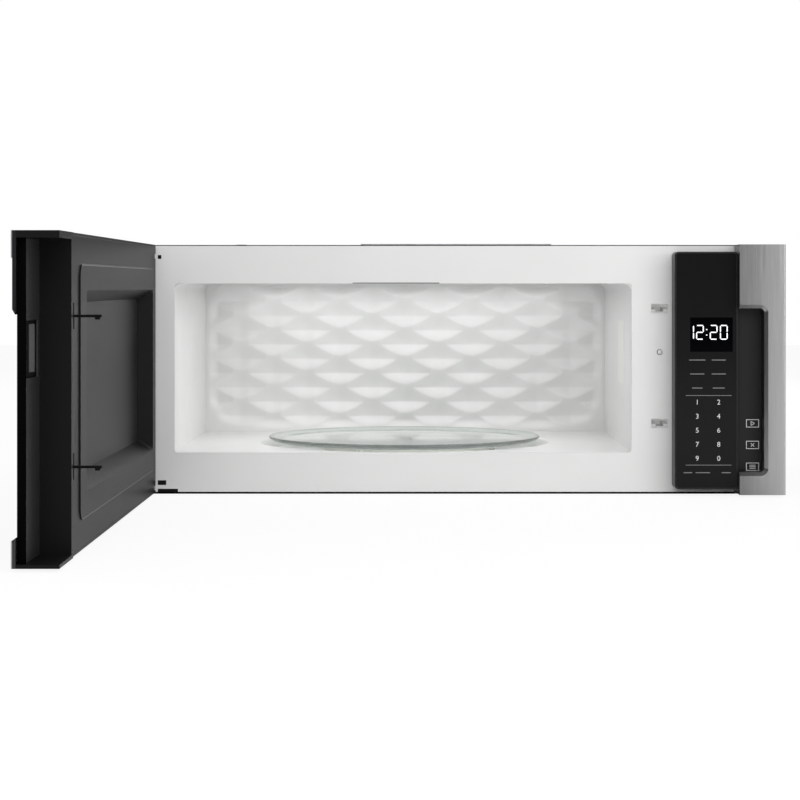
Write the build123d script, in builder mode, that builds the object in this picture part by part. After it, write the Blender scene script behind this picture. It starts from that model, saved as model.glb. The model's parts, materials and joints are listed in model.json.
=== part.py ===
from build123d import *
import math
import os

# Over-the-range microwave oven, in millimetres.
# Origin: middle of the back face's lower edge. +X right, +Z up, the front faces -Y.
# The door is made where it stands open a quarter turn. Its own measures are the distance
# from the hinge pin (u), the height (Z) and the depth in from its inner face.

os.makedirs("parts", exist_ok=True)

# Cabinet
cabinet_width = 759.0
cabinet_height = 295.5
body_depth = 419.0
case_sheet = 1.0
frame_sheet = 1.0
frame_flange = 10.0
case_corner_radius = 2.5
seat_gap = 0.3
shaft_clearance = 0.05
sheet_tuck = 0.05
overcut = 1.0
soft_corner = 2.0

# Oven cavity
cavity_width = 543.0
cavity_height = 201.0
cavity_depth = 380.0
cavity_left_margin = 39.9
cavity_floor_height = 48.9
cavity_sheet = 0.8
cavity_corner_radius = 10.0
frame_corner_radius = 4.0

# Diamond relief pressed into the back wall
diamond_pitch_x = 89.8
diamond_pitch_z = 39.0
diamond_relief = 5.0
diamond_valley = 1.6
relief_top_inset = 5.3
relief_margin = 6.0
relief_corner_radius = 50.0

# Turntable
tray_diameter = 345.0
tray_glass = 4.6
tray_rim_height = 7.6
tray_rim_width = 9.0
recess_diameter = 372.0
recess_slope = 10.0
recess_depth = 12.0
recess_bend_radius = 2.0
tray_lip_fillet = 0.9
tray_lug_offset = 8.0
tray_lug_length = 12.0
tray_lug_width = 7.0
tray_lug_height = 5.0
roller_radius = 5.85
roller_width = 8.0
roller_circle = 112.0
axle_radius = 1.6
ring_width = 8.0
ring_thickness = 5.0
ring_roller_gap = 1.0
ring_chamfer = 0.8
axle_overhang = 2.0
axle_collar_gap = 0.5
axle_collar_step = 0.8
axle_collar_length = 1.5
drive_shaft_radius = 3.0
drive_shaft_gap = 3.0
drive_shaft_lift = 4.0
coupler_radius = 16.0
coupler_lift = 2.0
coupler_arm_middle = 12.0
coupler_arm_length = 17.6
coupler_arm_width = 7.0
coupler_arm_thickness = 4.0
motor_can_radius = 25.0
motor_can_height = 16.0
motor_bore_end = 3.0
motor_ear_length = 10.0
motor_ear_width = 12.0
motor_ear_sheet = 1.2
motor_plug_width = 24.0
motor_plug_reach = 10.0
motor_plug_lap = 5.0
motor_plug_drop = 3.0

# Door
door_thickness = 42.0
door_gap = 1.2
door_bottom = 2.5
door_top_margin = 0.0
door_wall = 2.5
door_skin_sheet = 1.0
door_glass_thickness = 3.0
door_web = 2.0
door_band = 24.0
door_surround_depth = 1.5
door_cover_wall = 2.0
door_corner_radius = 8.0
thin_end_thickness = 12.0
thin_flange_top = 6.3
thin_flange_bottom = 3.3
frame_end_inset = 7.5
field_margin_z = 28.0
field_margin_hinge = 33.0
field_margin_free = 44.0
field_corner_radius = 14.0
window_margin_top = 52.5
window_margin_bottom = 53.0
window_margin_hinge = 43.0
window_margin_free = 80.0
window_bevel = 11.5
window_depth = 17.0
window_corner_radius = 7.0
window_glass = 2.0
window_lap = 6.0
choke_sheet = 0.8
choke_flange = 12.0
choke_clearance = 3.0

# Door hinge
hinge_inset = 9.5
hinge_reach = 11.5
hinge_pin_radius = 3.0
hinge_pin_length = 15.0
hinge_arm_thickness = 4.0
hinge_arm_half_width = 7.0
hinge_arm_low = 6.0
hinge_arm_top_margin = 11.5
hinge_leaf_sheet = 2.0
hinge_leaf_reach = 21.0
hinge_leaf_height = 34.0
bush_radius = 6.0
bush_end_gap = 1.0
arm_clearance = 0.7
arm_pocket_gap = 3.5

# Latch
latch_offset_from_panel = 14.4
latch_high = 220.0
latch_low = 83.5
latch_slot_width = 20.0
latch_slot_height = 11.0
hook_thickness = 4.0
hook_height = 2.4
hook_reach = 24.0
hook_barb = 2.0
hook_root = 1.0
barb_start = 6.0
barb_end = 1.5
latch_travel = 4.0
door_slot_height = 24.0
door_slot_width = 5.2
latch_bar_width = 9.0
latch_bar_thickness = 4.0
latch_bar_end = 8.0
bracket_sheet = 3.0
bracket_half_width = 20.0
catch_gap = 0.4
receiver_depth = 34.0
receiver_wall = 2.0
receiver_end = 30.0
ramp_side_gap = 2.5
ramp_length = 12.0
switch_length = 28.0
switch_width = 10.0
switch_depth = 8.0
spring_radius = 3.0
spring_wire = 0.5
spring_turns = 10
spring_pitch = 2.4
spring_seat_thickness = 3.0
spring_seat_lap = 1.0
frame_hole_radius = 3.5
frame_hole_height = 168.3

# Control panel
panel_width = 74.5
panel_bottom = 7.8
panel_top_margin = 8.3
panel_depth = 30.0
panel_wall = 2.4
panel_corner_radius = 5.0
panel_edge_fillet = 1.2
panel_glass_thickness = 1.5
panel_glass_margin = 2.2
display_left_offset = 18.2
display_width = 50.0
display_bottom = 169.5
display_cut_side = 9.0
display_cut_below = 3.0
display_cut_above = 7.0
display_height = 40.4
display_body_depth = 11.0
display_flange = 4.0
board_thickness = 1.6
board_margin = 6.0
component_height = 12.0
relay_margin = 6.0
relay_width = 18.0
relay_height = 20.0
relay_low = 40.0
relay_pitch = 30.0
relay_count = 3
supply_left_margin = 30.0
supply_right_margin = 4.0
supply_height = 40.0
board_post_inset = 4.0
board_post_half = 3.0
panel_gap = 1.6

# Trim column with its finger pocket
column_width = 53.9
column_bottom = 2.5
column_top_margin = 0.0
column_sheet = 1.2
column_gap = 1.5
column_edge_radius = 2.5
pocket_width = 33.4
pocket_bottom = 24.8
pocket_height = 200.1
pocket_roll = 4.2
pocket_depth = 25.0
pocket_corner_radius = 9.0
liner_wall = 1.6
notch_depth = 10.0
notch_bevel = 14.0
notch_slant = 4.5
notch_lip = 0.5
notch_low_lap = 0.3
notch_high_lap = 2.0

# Underside
base_sheet = 1.0
filter_length = 200.0
filter_width = 110.0
filter_thickness = 8.0
filter_corner_radius = 3.0
filter_rim = 8.0
filter_web = 2.0
filter_y = -255.0
filter_left_x = -200.0
filter_right_x = 130.0
filter_guide_height = 10.0
lamp_length = 90.0
lamp_width = 34.0
lamp_y = -372.0
lamp_offset = 150.0
lens_thickness = 2.0
lens_corner_radius = 4.0
lens_flange = 4.0
lamp_holder_height = 20.0
lamp_wall = 2.0
bulb_radius = 9.0
bulb_height = 8.0

# Exhaust
exhaust_length = 254.0
exhaust_width = 82.5
exhaust_y = -62.0
exhaust_flange = 10.0
exhaust_flange_corner = 4.0
exhaust_sheet = 1.2
collar_height = 6.0
collar_sheet = 1.5
damper_thickness = 1.0
damper_pin_radius = 1.5
damper_pin_lift = 2.2
damper_clearance = 1.0
duct_sheet = 0.8
duct_floor_gap = 1.0

# Hood blower
blower_radius = 60.0
blower_wheel_radius = 48.0
blower_wheel_gap = 4.0
blower_disc_thickness = 2.0
blower_hub_radius = 9.0
blower_hub_length = 16.0
blower_blade_depth = 10.0
blower_blade_gap = 1.5
blower_blade_thickness = 0.9
blower_blade_turn = 25.0
blower_blade_count = 28
blower_shaft_radius = 4.0
blower_shaft_gap = 3.0
blower_shaft_end = 6.0
blower_inlet_radius = 40.0
blower_motor_radius = 30.0
blower_motor_length = 34.0
blower_motor_gap = 6.0
blower_motor_end = 4.0
blower_motor_fillet = 3.0
spider_ring_out = 6.0
spider_ring_in = 2.0
spider_centre_radius = 22.0
spider_arm_width = 8.0
spider_lap = 3.0

# Magnetron, its waveguide and its cooling fan
waveguide_width = 78.0
waveguide_height = 82.0
waveguide_depth = 40.0
waveguide_wall = 1.0
waveguide_y = -285.0
waveguide_z = 165.0
feed_width = 60.0
feed_height = 62.0
mica_thickness = 0.5
mica_lap = 8.0
mica_corner_radius = 4.0
magnetron_width = 88.0
magnetron_height = 76.0
magnetron_length = 92.0
yoke_sheet = 1.6
anode_radius = 19.0
fin_count = 10
fin_thickness = 0.8
fin_end_gap = 12.0
fin_side_gap = 4.0
fin_top_gap = 1.0
antenna_radius = 7.0
antenna_length = 24.0
antenna_hole_gap = 3.0
antenna_clearance = 1.0
fan_y = -128.0
fan_frame_size = 118.0
fan_frame_corner = 6.0
fan_bore_radius = 52.0
fan_radius = 49.0
fan_frame_depth = 22.0
fan_bar_height = 12.0
fan_bar_depth = 2.0
fan_bar_gap = 1.0
fan_hub_radius = 12.0
fan_hub_length = 14.0
fan_hub_inset = 3.0
fan_blade_count = 5
fan_blade_chord = 20.0
fan_blade_thickness = 1.4
fan_blade_twist = 28.0
fan_blade_lap = 2.0
fan_blade_tip_gap = 1.0
fan_shaft_radius = 2.5
fan_shaft_gap = 3.0
fan_shaft_end = 5.0
fan_motor_width = 54.0
fan_motor_height = 46.0
fan_motor_depth = 24.0
fan_motor_lap = 2.0
fan_bore_end = 4.0
fan_coil_width = 20.0
fan_coil_height = 34.0
fan_coil_depth = 8.0

# High voltage supply
transformer_right_gap = 10.5
transformer_y = -245.0
transformer_width = 100.0
transformer_depth = 64.0
transformer_height = 82.0
transformer_leg = 16.0
winding_overhang = 14.0
winding_corner_radius = 12.0
winding_side_gap = 0.5
winding_end_gap = 1.0
capacitor_radius_x = 17.0
capacitor_length = 66.0
capacitor_height = 84.0
capacitor_edge_fillet = 2.0
capacitor_right_gap = 15.5
capacitor_y = -335.0
terminal_spacing = 24.0
terminal_radius = 5.0
terminal_height = 7.0
tab_thickness = 1.0
tab_width = 6.3
tab_height = 8.0
diode_length = 24.0
diode_height = 10.0
diode_depth = 7.0
diode_corner_radius = 3.0
diode_drop = 14.0

# Small electrical pieces on the cavity and on the case's left side
cavity_lamp_y = -180.0
cavity_lamp_drop = 34.9
cavity_lamp_width = 34.0
cavity_lamp_height = 30.0
cavity_lamp_depth = 20.0
cavity_lamp_corner = 4.0
lamp_plug_radius = 8.0
lamp_plug_length = 6.0
cutout_back_y = -225.0
cutout_front_y = -345.0
cutout_z = 120.0
cutout_tab_length = 30.0
cutout_tab_width = 12.0
cutout_tab_sheet = 1.0
cutout_can_radius = 8.0
cutout_can_height = 9.0
filter_board_y = -90.0
filter_board_z = 190.0
filter_board_width = 80.0
filter_board_height = 100.0
standoff_length = 8.0
standoff_radius = 3.0
standoff_inset = 10.0
choke_coil_radius = 10.0
choke_coil_spacing = 30.0
filter_part_offset = 25.0
filter_block_width = 40.0
filter_block_height = 22.0
filter_part_depth = 14.0

# Fasteners and mounts
bolt_spacing = 508.0
bolt_y = -372.0
bolt_hole_radius = 3.3
bolt_nut_width = 14.0
bolt_nut_height = 8.0
wall_hook_spacing = 420.0
wall_hook_width = 42.0
wall_hook_height = 9.0
wall_hook_z = 22.0
screw_head_radius = 3.6
screw_head_height = 1.8
screw_chamfer = 0.6
screw_shank_radius = 1.8
screw_length = 6.0
screw_inset_x = 22.0
screw_inset_y = 8.0
screw_spacing = 120.0
back_flange = 14.0
cord_hole_radius = 9.0
cord_hole_x = -290.0
cord_hole_y = -55.0
bushing_height = 7.0
bushing_neck = 4.0
bushing_flange = 3.0
bushing_flange_thickness = 2.5
bushing_tip_inset = 1.0
bushing_taper = 12.0
bushing_bore_radius = 4.2

# Places worked out from the sizes above
left = -cabinet_width / 2
right = cabinet_width / 2
front_y = -body_depth
inside_left = left + case_sheet
inside_right = right - case_sheet
inside_top = cabinet_height - case_sheet
frame_back_y = front_y + frame_sheet
cavity_left = left + cavity_left_margin
cavity_right = cavity_left + cavity_width
cavity_top = cavity_floor_height + cavity_height
cavity_back_y = frame_back_y + cavity_depth
cavity_x = (cavity_left + cavity_right) / 2
turntable_y = (frame_back_y + cavity_back_y) / 2
recess_floor = cavity_floor_height - recess_depth
roller_z = recess_floor + seat_gap + roller_radius
tray_bottom = roller_z + roller_radius + seat_gap
column_left = right - column_width
column_top = cabinet_height - column_top_margin
panel_left = column_left - panel_width
panel_top = cabinet_height - panel_top_margin
panel_front_y = front_y - panel_depth
column_depth = door_gap + door_thickness
column_front_y = front_y - column_depth
latch_x = panel_left - latch_offset_from_panel
door_top = cabinet_height - door_top_margin
hinge_arm_high = cabinet_height - hinge_arm_top_margin
hinge_x = left + hinge_inset
hinge_y = front_y - hinge_reach
door_inner_x = hinge_x + hinge_reach - door_gap
door_near = -hinge_inset
door_thick_end = panel_left - panel_gap - hinge_x
door_free_end = column_left - column_gap - hinge_x
glass_depth = door_thickness - door_skin_sheet - door_glass_thickness
latch_u = latch_x - hinge_x
bay_x = (cavity_right + cavity_sheet + inside_right) / 2


def elevation(y):
    """A plane seen from the front: sketch x is X and sketch y is Z."""
    return Plane(origin=(0, y, 0), x_dir=(1, 0, 0), z_dir=(0, -1, 0))


def side_view(x):
    """A plane seen from the right: sketch x is Y and sketch y is Z."""
    return Plane(origin=(x, 0, 0), x_dir=(0, 1, 0), z_dir=(1, 0, 0))


def door_face(depth):
    """The door seen from its inner side, some depth in: sketch x is u and sketch y is Z."""
    return Plane(origin=(door_inner_x - depth, hinge_y, 0), x_dir=(0, -1, 0), z_dir=(-1, 0, 0))


def door_plan(z):
    """The door seen from above about its pin: sketch x is u and sketch y points inwards."""
    return Plane(origin=(hinge_x, hinge_y, z), x_dir=(0, -1, 0), z_dir=(0, 0, 1))


def area(x0, x1, y0, y1, mode=Mode.ADD):
    """A rectangle between two values of each sketch axis."""
    with Locations(((x0 + x1) / 2, (y0 + y1) / 2)):
        Rectangle(x1 - x0, y1 - y0, mode=mode)


def rounded_area(x0, x1, y0, y1, radius, mode=Mode.ADD):
    """A rectangle with rounded corners between two values of each sketch axis."""
    with Locations(((x0 + x1) / 2, (y0 + y1) / 2)):
        RectangleRounded(x1 - x0, y1 - y0, radius, mode=mode)


def block(x0, x1, y0, y1, z0, z1, mode=Mode.ADD):
    """A box between two values of each axis."""
    with Locations(((x0 + x1) / 2, (y0 + y1) / 2, (z0 + z1) / 2)):
        Box(x1 - x0, y1 - y0, z1 - z0, mode=mode)


# ---- Case ----------------------------------------------------------------------------

screw_points = [
    (side * offset, -screw_inset_y)
    for side in (-1, 1)
    for offset in (right - screw_inset_x, right - screw_inset_x - screw_spacing)
]
bolt_points = [(x * bolt_spacing / 2, bolt_y) for x in (-1, 1)]
exhaust_front = exhaust_y - exhaust_width / 2
exhaust_back = exhaust_y + exhaust_width / 2

with BuildPart() as case_wrap:
    with BuildSketch(elevation(0)):
        area(left, right, 0, cabinet_height)
        fillet(vertices().group_by(Axis.Y)[-1], case_corner_radius)
        area(inside_left, inside_right, 0, inside_top, mode=Mode.SUBTRACT)
    extrude(amount=body_depth)
    with BuildSketch(Plane.XY.offset(inside_top)):
        area(-exhaust_length / 2, exhaust_length / 2, exhaust_front, exhaust_back)
        with Locations((cord_hole_x, cord_hole_y)):
            Circle(cord_hole_radius)
        with Locations(*screw_points):
            Circle(screw_shank_radius + shaft_clearance)
    extrude(amount=case_sheet, mode=Mode.SUBTRACT)
    with BuildSketch(Plane.XY.offset(inside_top)):
        with Locations(*bolt_points):
            Rectangle(bolt_nut_width, bolt_nut_width)
    extrude(amount=-bolt_nut_height)
    with BuildSketch(Plane.XY.offset(cabinet_height)):
        with Locations(*bolt_points):
            Circle(bolt_hole_radius)
    extrude(amount=-case_sheet - bolt_nut_height, mode=Mode.SUBTRACT)
case_wrap.part.label = "case_wrap"
export_step(case_wrap.part, "parts/case_wrap.step")

with BuildPart() as back_plate:
    with BuildSketch(elevation(0)):
        area(inside_left, inside_right, 0, inside_top)
        with Locations((-wall_hook_spacing / 2, wall_hook_z), (wall_hook_spacing / 2, wall_hook_z)):
            SlotOverall(wall_hook_width, wall_hook_height, mode=Mode.SUBTRACT)
    extrude(amount=case_sheet)
    block(inside_left, inside_right, -back_flange, -case_sheet, inside_top - case_sheet, inside_top)
    with BuildSketch(Plane.XY.offset(inside_top)):
        with Locations(*screw_points):
            Circle(screw_shank_radius + shaft_clearance)
    extrude(amount=-case_sheet, mode=Mode.SUBTRACT)
back_plate.part.label = "back_plate"
export_step(back_plate.part, "parts/back_plate.step")

filter_centres = [(filter_left_x, filter_y), (filter_right_x, filter_y)]
lamp_centres = [(cavity_x - lamp_offset, lamp_y), (cavity_x + lamp_offset, lamp_y)]

with BuildPart() as base_plate:
    block(inside_left, inside_right, frame_back_y, -case_sheet, 0, base_sheet)
    with BuildSketch(Plane.XY.offset(base_sheet)):
        with Locations(*filter_centres):
            Rectangle(
                filter_length + 2 * seat_gap + 2 * base_sheet,
                filter_width + 2 * seat_gap + 2 * base_sheet,
            )
    extrude(amount=filter_guide_height - base_sheet)
    with BuildSketch():
        with Locations(*filter_centres):
            Rectangle(filter_length + 2 * seat_gap, filter_width + 2 * seat_gap)
    extrude(amount=filter_guide_height, mode=Mode.SUBTRACT)
    with BuildSketch():
        with Locations(*lamp_centres):
            RectangleRounded(lamp_length, lamp_width, lens_corner_radius)
    extrude(amount=base_sheet, mode=Mode.SUBTRACT)
base_plate.part.label = "base_plate"
export_step(base_plate.part, "parts/base_plate.step")

latch_slots = [(latch_x, latch_low), (latch_x, latch_high)]
arm_slot_left = hinge_x - hinge_arm_half_width - seat_gap
arm_slot_right = hinge_x + hinge_arm_half_width + seat_gap
arm_levels = [hinge_arm_low, hinge_arm_high - hinge_arm_thickness]

with BuildPart() as front_frame:
    block(inside_left, inside_right, front_y, front_y + frame_flange, base_sheet, inside_top)
    block(
        inside_left + frame_sheet,
        inside_right - frame_sheet,
        frame_back_y,
        front_y + frame_flange,
        base_sheet + frame_sheet,
        inside_top - frame_sheet,
        mode=Mode.SUBTRACT,
    )
    with BuildSketch(elevation(frame_back_y)):
        rounded_area(cavity_left, cavity_right, cavity_floor_height, cavity_top, frame_corner_radius)
        with Locations(*latch_slots):
            Rectangle(latch_slot_width, latch_slot_height)
        with Locations((latch_x, frame_hole_height)):
            Circle(frame_hole_radius)
        for level in arm_levels:
            area(
                arm_slot_left,
                arm_slot_right,
                level - seat_gap,
                level + hinge_arm_thickness + seat_gap,
            )
    extrude(amount=frame_sheet, mode=Mode.SUBTRACT)
    # the base sheet is tucked under the lower flange
    block(inside_left, inside_right, frame_back_y, front_y + frame_flange, 0, base_sheet + sheet_tuck,
          mode=Mode.SUBTRACT)
front_frame.part.label = "front_frame"
export_step(front_frame.part, "parts/front_frame.step")

# ---- Oven cavity ---------------------------------------------------------------------

wrap_left = cavity_left - cavity_sheet
wrap_right = cavity_right + cavity_sheet
wrap_top = cavity_top + cavity_sheet

with BuildPart() as cavity_wrap:
    with BuildSketch(elevation(cavity_back_y)):
        area(wrap_left, wrap_right, cavity_floor_height, wrap_top)
        fillet(vertices().group_by(Axis.Y)[-1], cavity_corner_radius + cavity_sheet)
        area(cavity_left, cavity_right, cavity_floor_height, cavity_top, mode=Mode.SUBTRACT)
        for x in (cavity_left + cavity_corner_radius, cavity_right - cavity_corner_radius):
            with Locations((x, cavity_top - cavity_corner_radius)):
                Circle(cavity_corner_radius + cavity_sheet)
        with Locations((cavity_x, cavity_floor_height + cavity_height / 2)):
            RectangleRounded(cavity_width, cavity_height, cavity_corner_radius, mode=Mode.SUBTRACT)
        area(
            cavity_left,
            cavity_right,
            cavity_floor_height,
            cavity_floor_height + cavity_corner_radius,
            mode=Mode.SUBTRACT,
        )
    extrude(amount=cavity_depth)
    with BuildSketch(side_view(cavity_right)):
        with Locations((waveguide_y, waveguide_z)):
            Rectangle(feed_width, feed_height)
    extrude(amount=cavity_sheet, mode=Mode.SUBTRACT)
cavity_wrap.part.label = "cavity_wrap"
export_step(cavity_wrap.part, "parts/cavity_wrap.step")

turntable_centre = Plane(origin=(cavity_x, turntable_y, 0), x_dir=(1, 0, 0), z_dir=(0, -1, 0))
turntable_axis = Axis((cavity_x, turntable_y, 0), (0, 0, 1))
recess_radius = recess_diameter / 2

with BuildPart() as cavity_floor:
    block(
        wrap_left,
        wrap_right,
        frame_back_y,
        cavity_back_y,
        cavity_floor_height - cavity_sheet,
        cavity_floor_height,
    )
    with Locations((cavity_x, turntable_y, cavity_floor_height - cavity_sheet / 2)):
        Cylinder(recess_radius, cavity_sheet, mode=Mode.SUBTRACT)
    with BuildSketch(turntable_centre):
        with BuildLine():
            FilletPolyline(
                (drive_shaft_radius + drive_shaft_gap, recess_floor - cavity_sheet / 2),
                (recess_radius - recess_slope, recess_floor - cavity_sheet / 2),
                (recess_radius - recess_slope / 4, cavity_floor_height - cavity_sheet / 2),
                (recess_radius + cavity_sheet, cavity_floor_height - cavity_sheet / 2),
                radius=recess_bend_radius,
            )
        trace(line_width=cavity_sheet)
    revolve(axis=turntable_axis)
cavity_floor.part.label = "cavity_floor"
export_step(cavity_floor.part, "parts/cavity_floor.step")

# The pattern pressed into the back wall, away from the cavity: shallow four-sided pyramids on
# diamond bases, row upon row, every other row shifted by half a pitch. The first row's centre
# line lies just under the ceiling.
relief_left = cavity_left + relief_margin
relief_right = cavity_right - relief_margin
relief_low = cavity_floor_height + relief_margin
relief_high = cavity_top - relief_margin / 3
row_step = diamond_pitch_z / 2
row_count = 2 + int((cavity_height - relief_top_inset) / row_step)
columns_each_side = 1 + int(cavity_width / 2 / diamond_pitch_x)
diamond_points = [
    (
        cavity_x + (column + (row % 2) / 2) * diamond_pitch_x,
        cavity_top - relief_top_inset - row * row_step,
    )
    for row in range(row_count)
    for column in range(-columns_each_side - row % 2, columns_each_side + 1)
]
half_long = (diamond_pitch_x - diamond_valley) / 2
half_short = half_long * diamond_pitch_z / diamond_pitch_x
diamond_corners = [(half_long, 0), (0, half_short), (-half_long, 0), (0, -half_short)]


def diamonds(base_y):
    """The pyramids on a plane at base_y, pointing to the back."""
    for x, z in diamond_points:
        base = [Vector(x + dx, base_y, z + dz) for dx, dz in diamond_corners]
        peak = Vector(x, base_y + diamond_relief, z)
        faces = [Face(Wire.make_polygon(base))]
        for start, end in zip(base, base[1:] + base[:1]):
            faces.append(Face(Wire.make_polygon([start, end, peak])))
        add(Solid(Shell(faces)))


def relief_outline(outset):
    """The outline that the pattern stops at, drawn some distance outside its edge."""
    rounded_area(
        relief_left - outset,
        relief_right + outset,
        relief_low - outset,
        relief_high + outset,
        relief_corner_radius + outset,
    )


with BuildPart() as diamond_recesses:
    diamonds(cavity_back_y)
    with BuildSketch(elevation(cavity_back_y + diamond_relief)):
        relief_outline(0)
    extrude(amount=diamond_relief, mode=Mode.INTERSECT)

with BuildPart() as cavity_back_wall:
    diamonds(cavity_back_y + cavity_sheet)
    with BuildSketch(elevation(cavity_back_y + cavity_sheet + diamond_relief)):
        relief_outline(cavity_sheet)
    extrude(amount=diamond_relief, mode=Mode.INTERSECT)
    block(
        wrap_left,
        wrap_right,
        cavity_back_y,
        cavity_back_y + cavity_sheet,
        cavity_floor_height - cavity_sheet,
        wrap_top,
    )
    add(diamond_recesses.part, mode=Mode.SUBTRACT)
cavity_back_wall.part.label = "cavity_back_wall"
export_step(cavity_back_wall.part, "parts/cavity_back_wall.step")

# ---- Turntable and its drive ---------------------------------------------------------

tray_radius = tray_diameter / 2
tray_top = tray_bottom + tray_rim_height

with BuildPart() as glass_tray:
    with BuildSketch(turntable_centre):
        with BuildLine():
            Polyline(
                (0, tray_bottom),
                (tray_radius - tray_rim_width, tray_bottom),
                (tray_radius - tray_rim_width / 3, tray_bottom + tray_rim_height / 3),
                (tray_radius, tray_top - tray_rim_height / 4),
                (tray_radius - tray_rim_width / 5, tray_top),
                (tray_radius - tray_rim_width, tray_top - tray_rim_height / 6),
                (tray_radius - 1.6 * tray_rim_width, tray_bottom + tray_glass),
                (0, tray_bottom + tray_glass),
                close=True,
            )
        make_face()
    revolve(axis=turntable_axis)
    with BuildSketch(Plane.XY.offset(tray_bottom)):
        with Locations((cavity_x, turntable_y)):
            with PolarLocations(coupler_radius + tray_lug_offset, 3):
                RectangleRounded(tray_lug_width, tray_lug_length, soft_corner)
    extrude(amount=-tray_lug_height)
    rim_edges = glass_tray.edges().filter_by(GeomType.CIRCLE).group_by(SortBy.RADIUS)[-1]
    fillet(rim_edges, tray_lip_fillet)
glass_tray.part.label = "glass_tray"
export_step(glass_tray.part, "parts/glass_tray.step")

coupler_low = recess_floor + coupler_lift
motor_top = recess_floor - cavity_sheet
motor_bottom = motor_top - motor_can_height
shaft_low = motor_bottom + drive_shaft_lift

with BuildPart() as drive_coupler:
    with Locations((cavity_x, turntable_y, (coupler_low + tray_bottom) / 2)):
        Cylinder(coupler_radius / 2, tray_bottom - coupler_low)
    with BuildSketch(Plane.XY.offset(tray_bottom - coupler_arm_thickness)):
        with Locations((cavity_x, turntable_y)):
            with PolarLocations(coupler_arm_middle, 3, start_angle=60):
                RectangleRounded(coupler_arm_length, coupler_arm_width, soft_corner)
    extrude(amount=coupler_arm_thickness)
    with Locations((cavity_x, turntable_y, (shaft_low + coupler_low) / 2)):
        Cylinder(drive_shaft_radius, coupler_low - shaft_low)
drive_coupler.part.label = "drive_coupler"
export_step(drive_coupler.part, "parts/drive_coupler.step")

with BuildPart() as turntable_motor:
    with Locations((cavity_x, turntable_y, (motor_top + motor_bottom) / 2)):
        Cylinder(motor_can_radius, motor_can_height)
    with BuildSketch(Plane.XY.offset(motor_top)):
        with Locations((cavity_x, turntable_y)):
            SlotOverall(2 * (motor_can_radius + motor_ear_length), motor_ear_width)
    extrude(amount=-motor_ear_sheet)
    block(
        cavity_x - motor_plug_width / 2,
        cavity_x + motor_plug_width / 2,
        turntable_y - motor_can_radius - motor_plug_reach,
        turntable_y - motor_can_radius + motor_plug_lap,
        motor_bottom,
        motor_top - motor_plug_drop,
    )
    with Locations((cavity_x, turntable_y, motor_top)):
        Hole(drive_shaft_radius + shaft_clearance, motor_can_height - motor_bore_end)
turntable_motor.part.label = "turntable_motor"
export_step(turntable_motor.part, "parts/turntable_motor.step")

ring_outer = roller_circle - roller_width / 2 - ring_roller_gap
ring_plane = Plane.XY.offset(roller_z - ring_thickness / 2)
axle_end = roller_circle + roller_width / 2 + axle_overhang
spoke_planes = [
    Plane(
        origin=(cavity_x, turntable_y, roller_z),
        z_dir=(math.cos(index * math.tau / 3), math.sin(index * math.tau / 3), 0),
    )
    for index in range(3)
]

with BuildPart() as roller_ring:
    with BuildSketch(ring_plane):
        with Locations((cavity_x, turntable_y)):
            Circle(ring_outer)
            Circle(ring_outer - ring_width, mode=Mode.SUBTRACT)
    extrude(amount=ring_thickness)
    chamfer(roller_ring.edges().filter_by(GeomType.CIRCLE), ring_chamfer)
    for outward in spoke_planes:
        with BuildSketch(outward.offset(ring_outer - ring_width / 2)):
            Circle(axle_radius)
        extrude(amount=axle_end - ring_outer + ring_width / 2)
        with BuildSketch(outward.offset(roller_circle + roller_width / 2 + axle_collar_gap)):
            Circle(axle_radius + axle_collar_step)
        extrude(amount=axle_collar_length)
roller_ring.part.label = "roller_ring"
export_step(roller_ring.part, "parts/roller_ring.step")

for number, outward in enumerate(spoke_planes, start=1):
    with BuildPart() as roller:
        with BuildSketch(outward.offset(roller_circle - roller_width / 2)):
            Circle(roller_radius)
            Circle(axle_radius + shaft_clearance, mode=Mode.SUBTRACT)
        extrude(amount=roller_width)
        tread_edges = roller.edges().filter_by(GeomType.CIRCLE).group_by(SortBy.RADIUS)[-1]
        chamfer(tread_edges, ring_chamfer)
    roller.part.label = f"roller_{number}"
    export_step(roller.part, f"parts/roller_{number}.step")

# ---- Microwave feed ------------------------------------------------------------------

guide_left = wrap_right
guide_right = guide_left + waveguide_depth
guide_front = waveguide_y - waveguide_width / 2
guide_back = waveguide_y + waveguide_width / 2
guide_low = waveguide_z - waveguide_height / 2
guide_high = waveguide_z + waveguide_height / 2
magnetron_left = guide_right

with BuildPart() as waveguide:
    block(guide_left, guide_right, guide_front, guide_back, guide_low, guide_high)
    block(
        guide_left,
        guide_right - waveguide_wall,
        guide_front + waveguide_wall,
        guide_back - waveguide_wall,
        guide_low + waveguide_wall,
        guide_high - waveguide_wall,
        mode=Mode.SUBTRACT,
    )
    with Locations(Plane(origin=(guide_right, waveguide_y, waveguide_z), z_dir=(1, 0, 0))):
        Hole(antenna_radius + antenna_hole_gap)
waveguide.part.label = "waveguide"
export_step(waveguide.part, "parts/waveguide.step")

with BuildPart() as waveguide_cover:
    with BuildSketch(side_view(cavity_right)):
        with Locations((waveguide_y, waveguide_z)):
            RectangleRounded(
                feed_width + 2 * mica_lap, feed_height + 2 * mica_lap, mica_corner_radius
            )
    extrude(amount=-mica_thickness)
waveguide_cover.part.label = "waveguide_cover"
export_step(waveguide_cover.part, "parts/waveguide_cover.step")

magnetron_right = magnetron_left + magnetron_length
yoke_front = waveguide_y - magnetron_width / 2
yoke_back = waveguide_y + magnetron_width / 2
yoke_low = waveguide_z - magnetron_height / 2
yoke_high = waveguide_z + magnetron_height / 2

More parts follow.
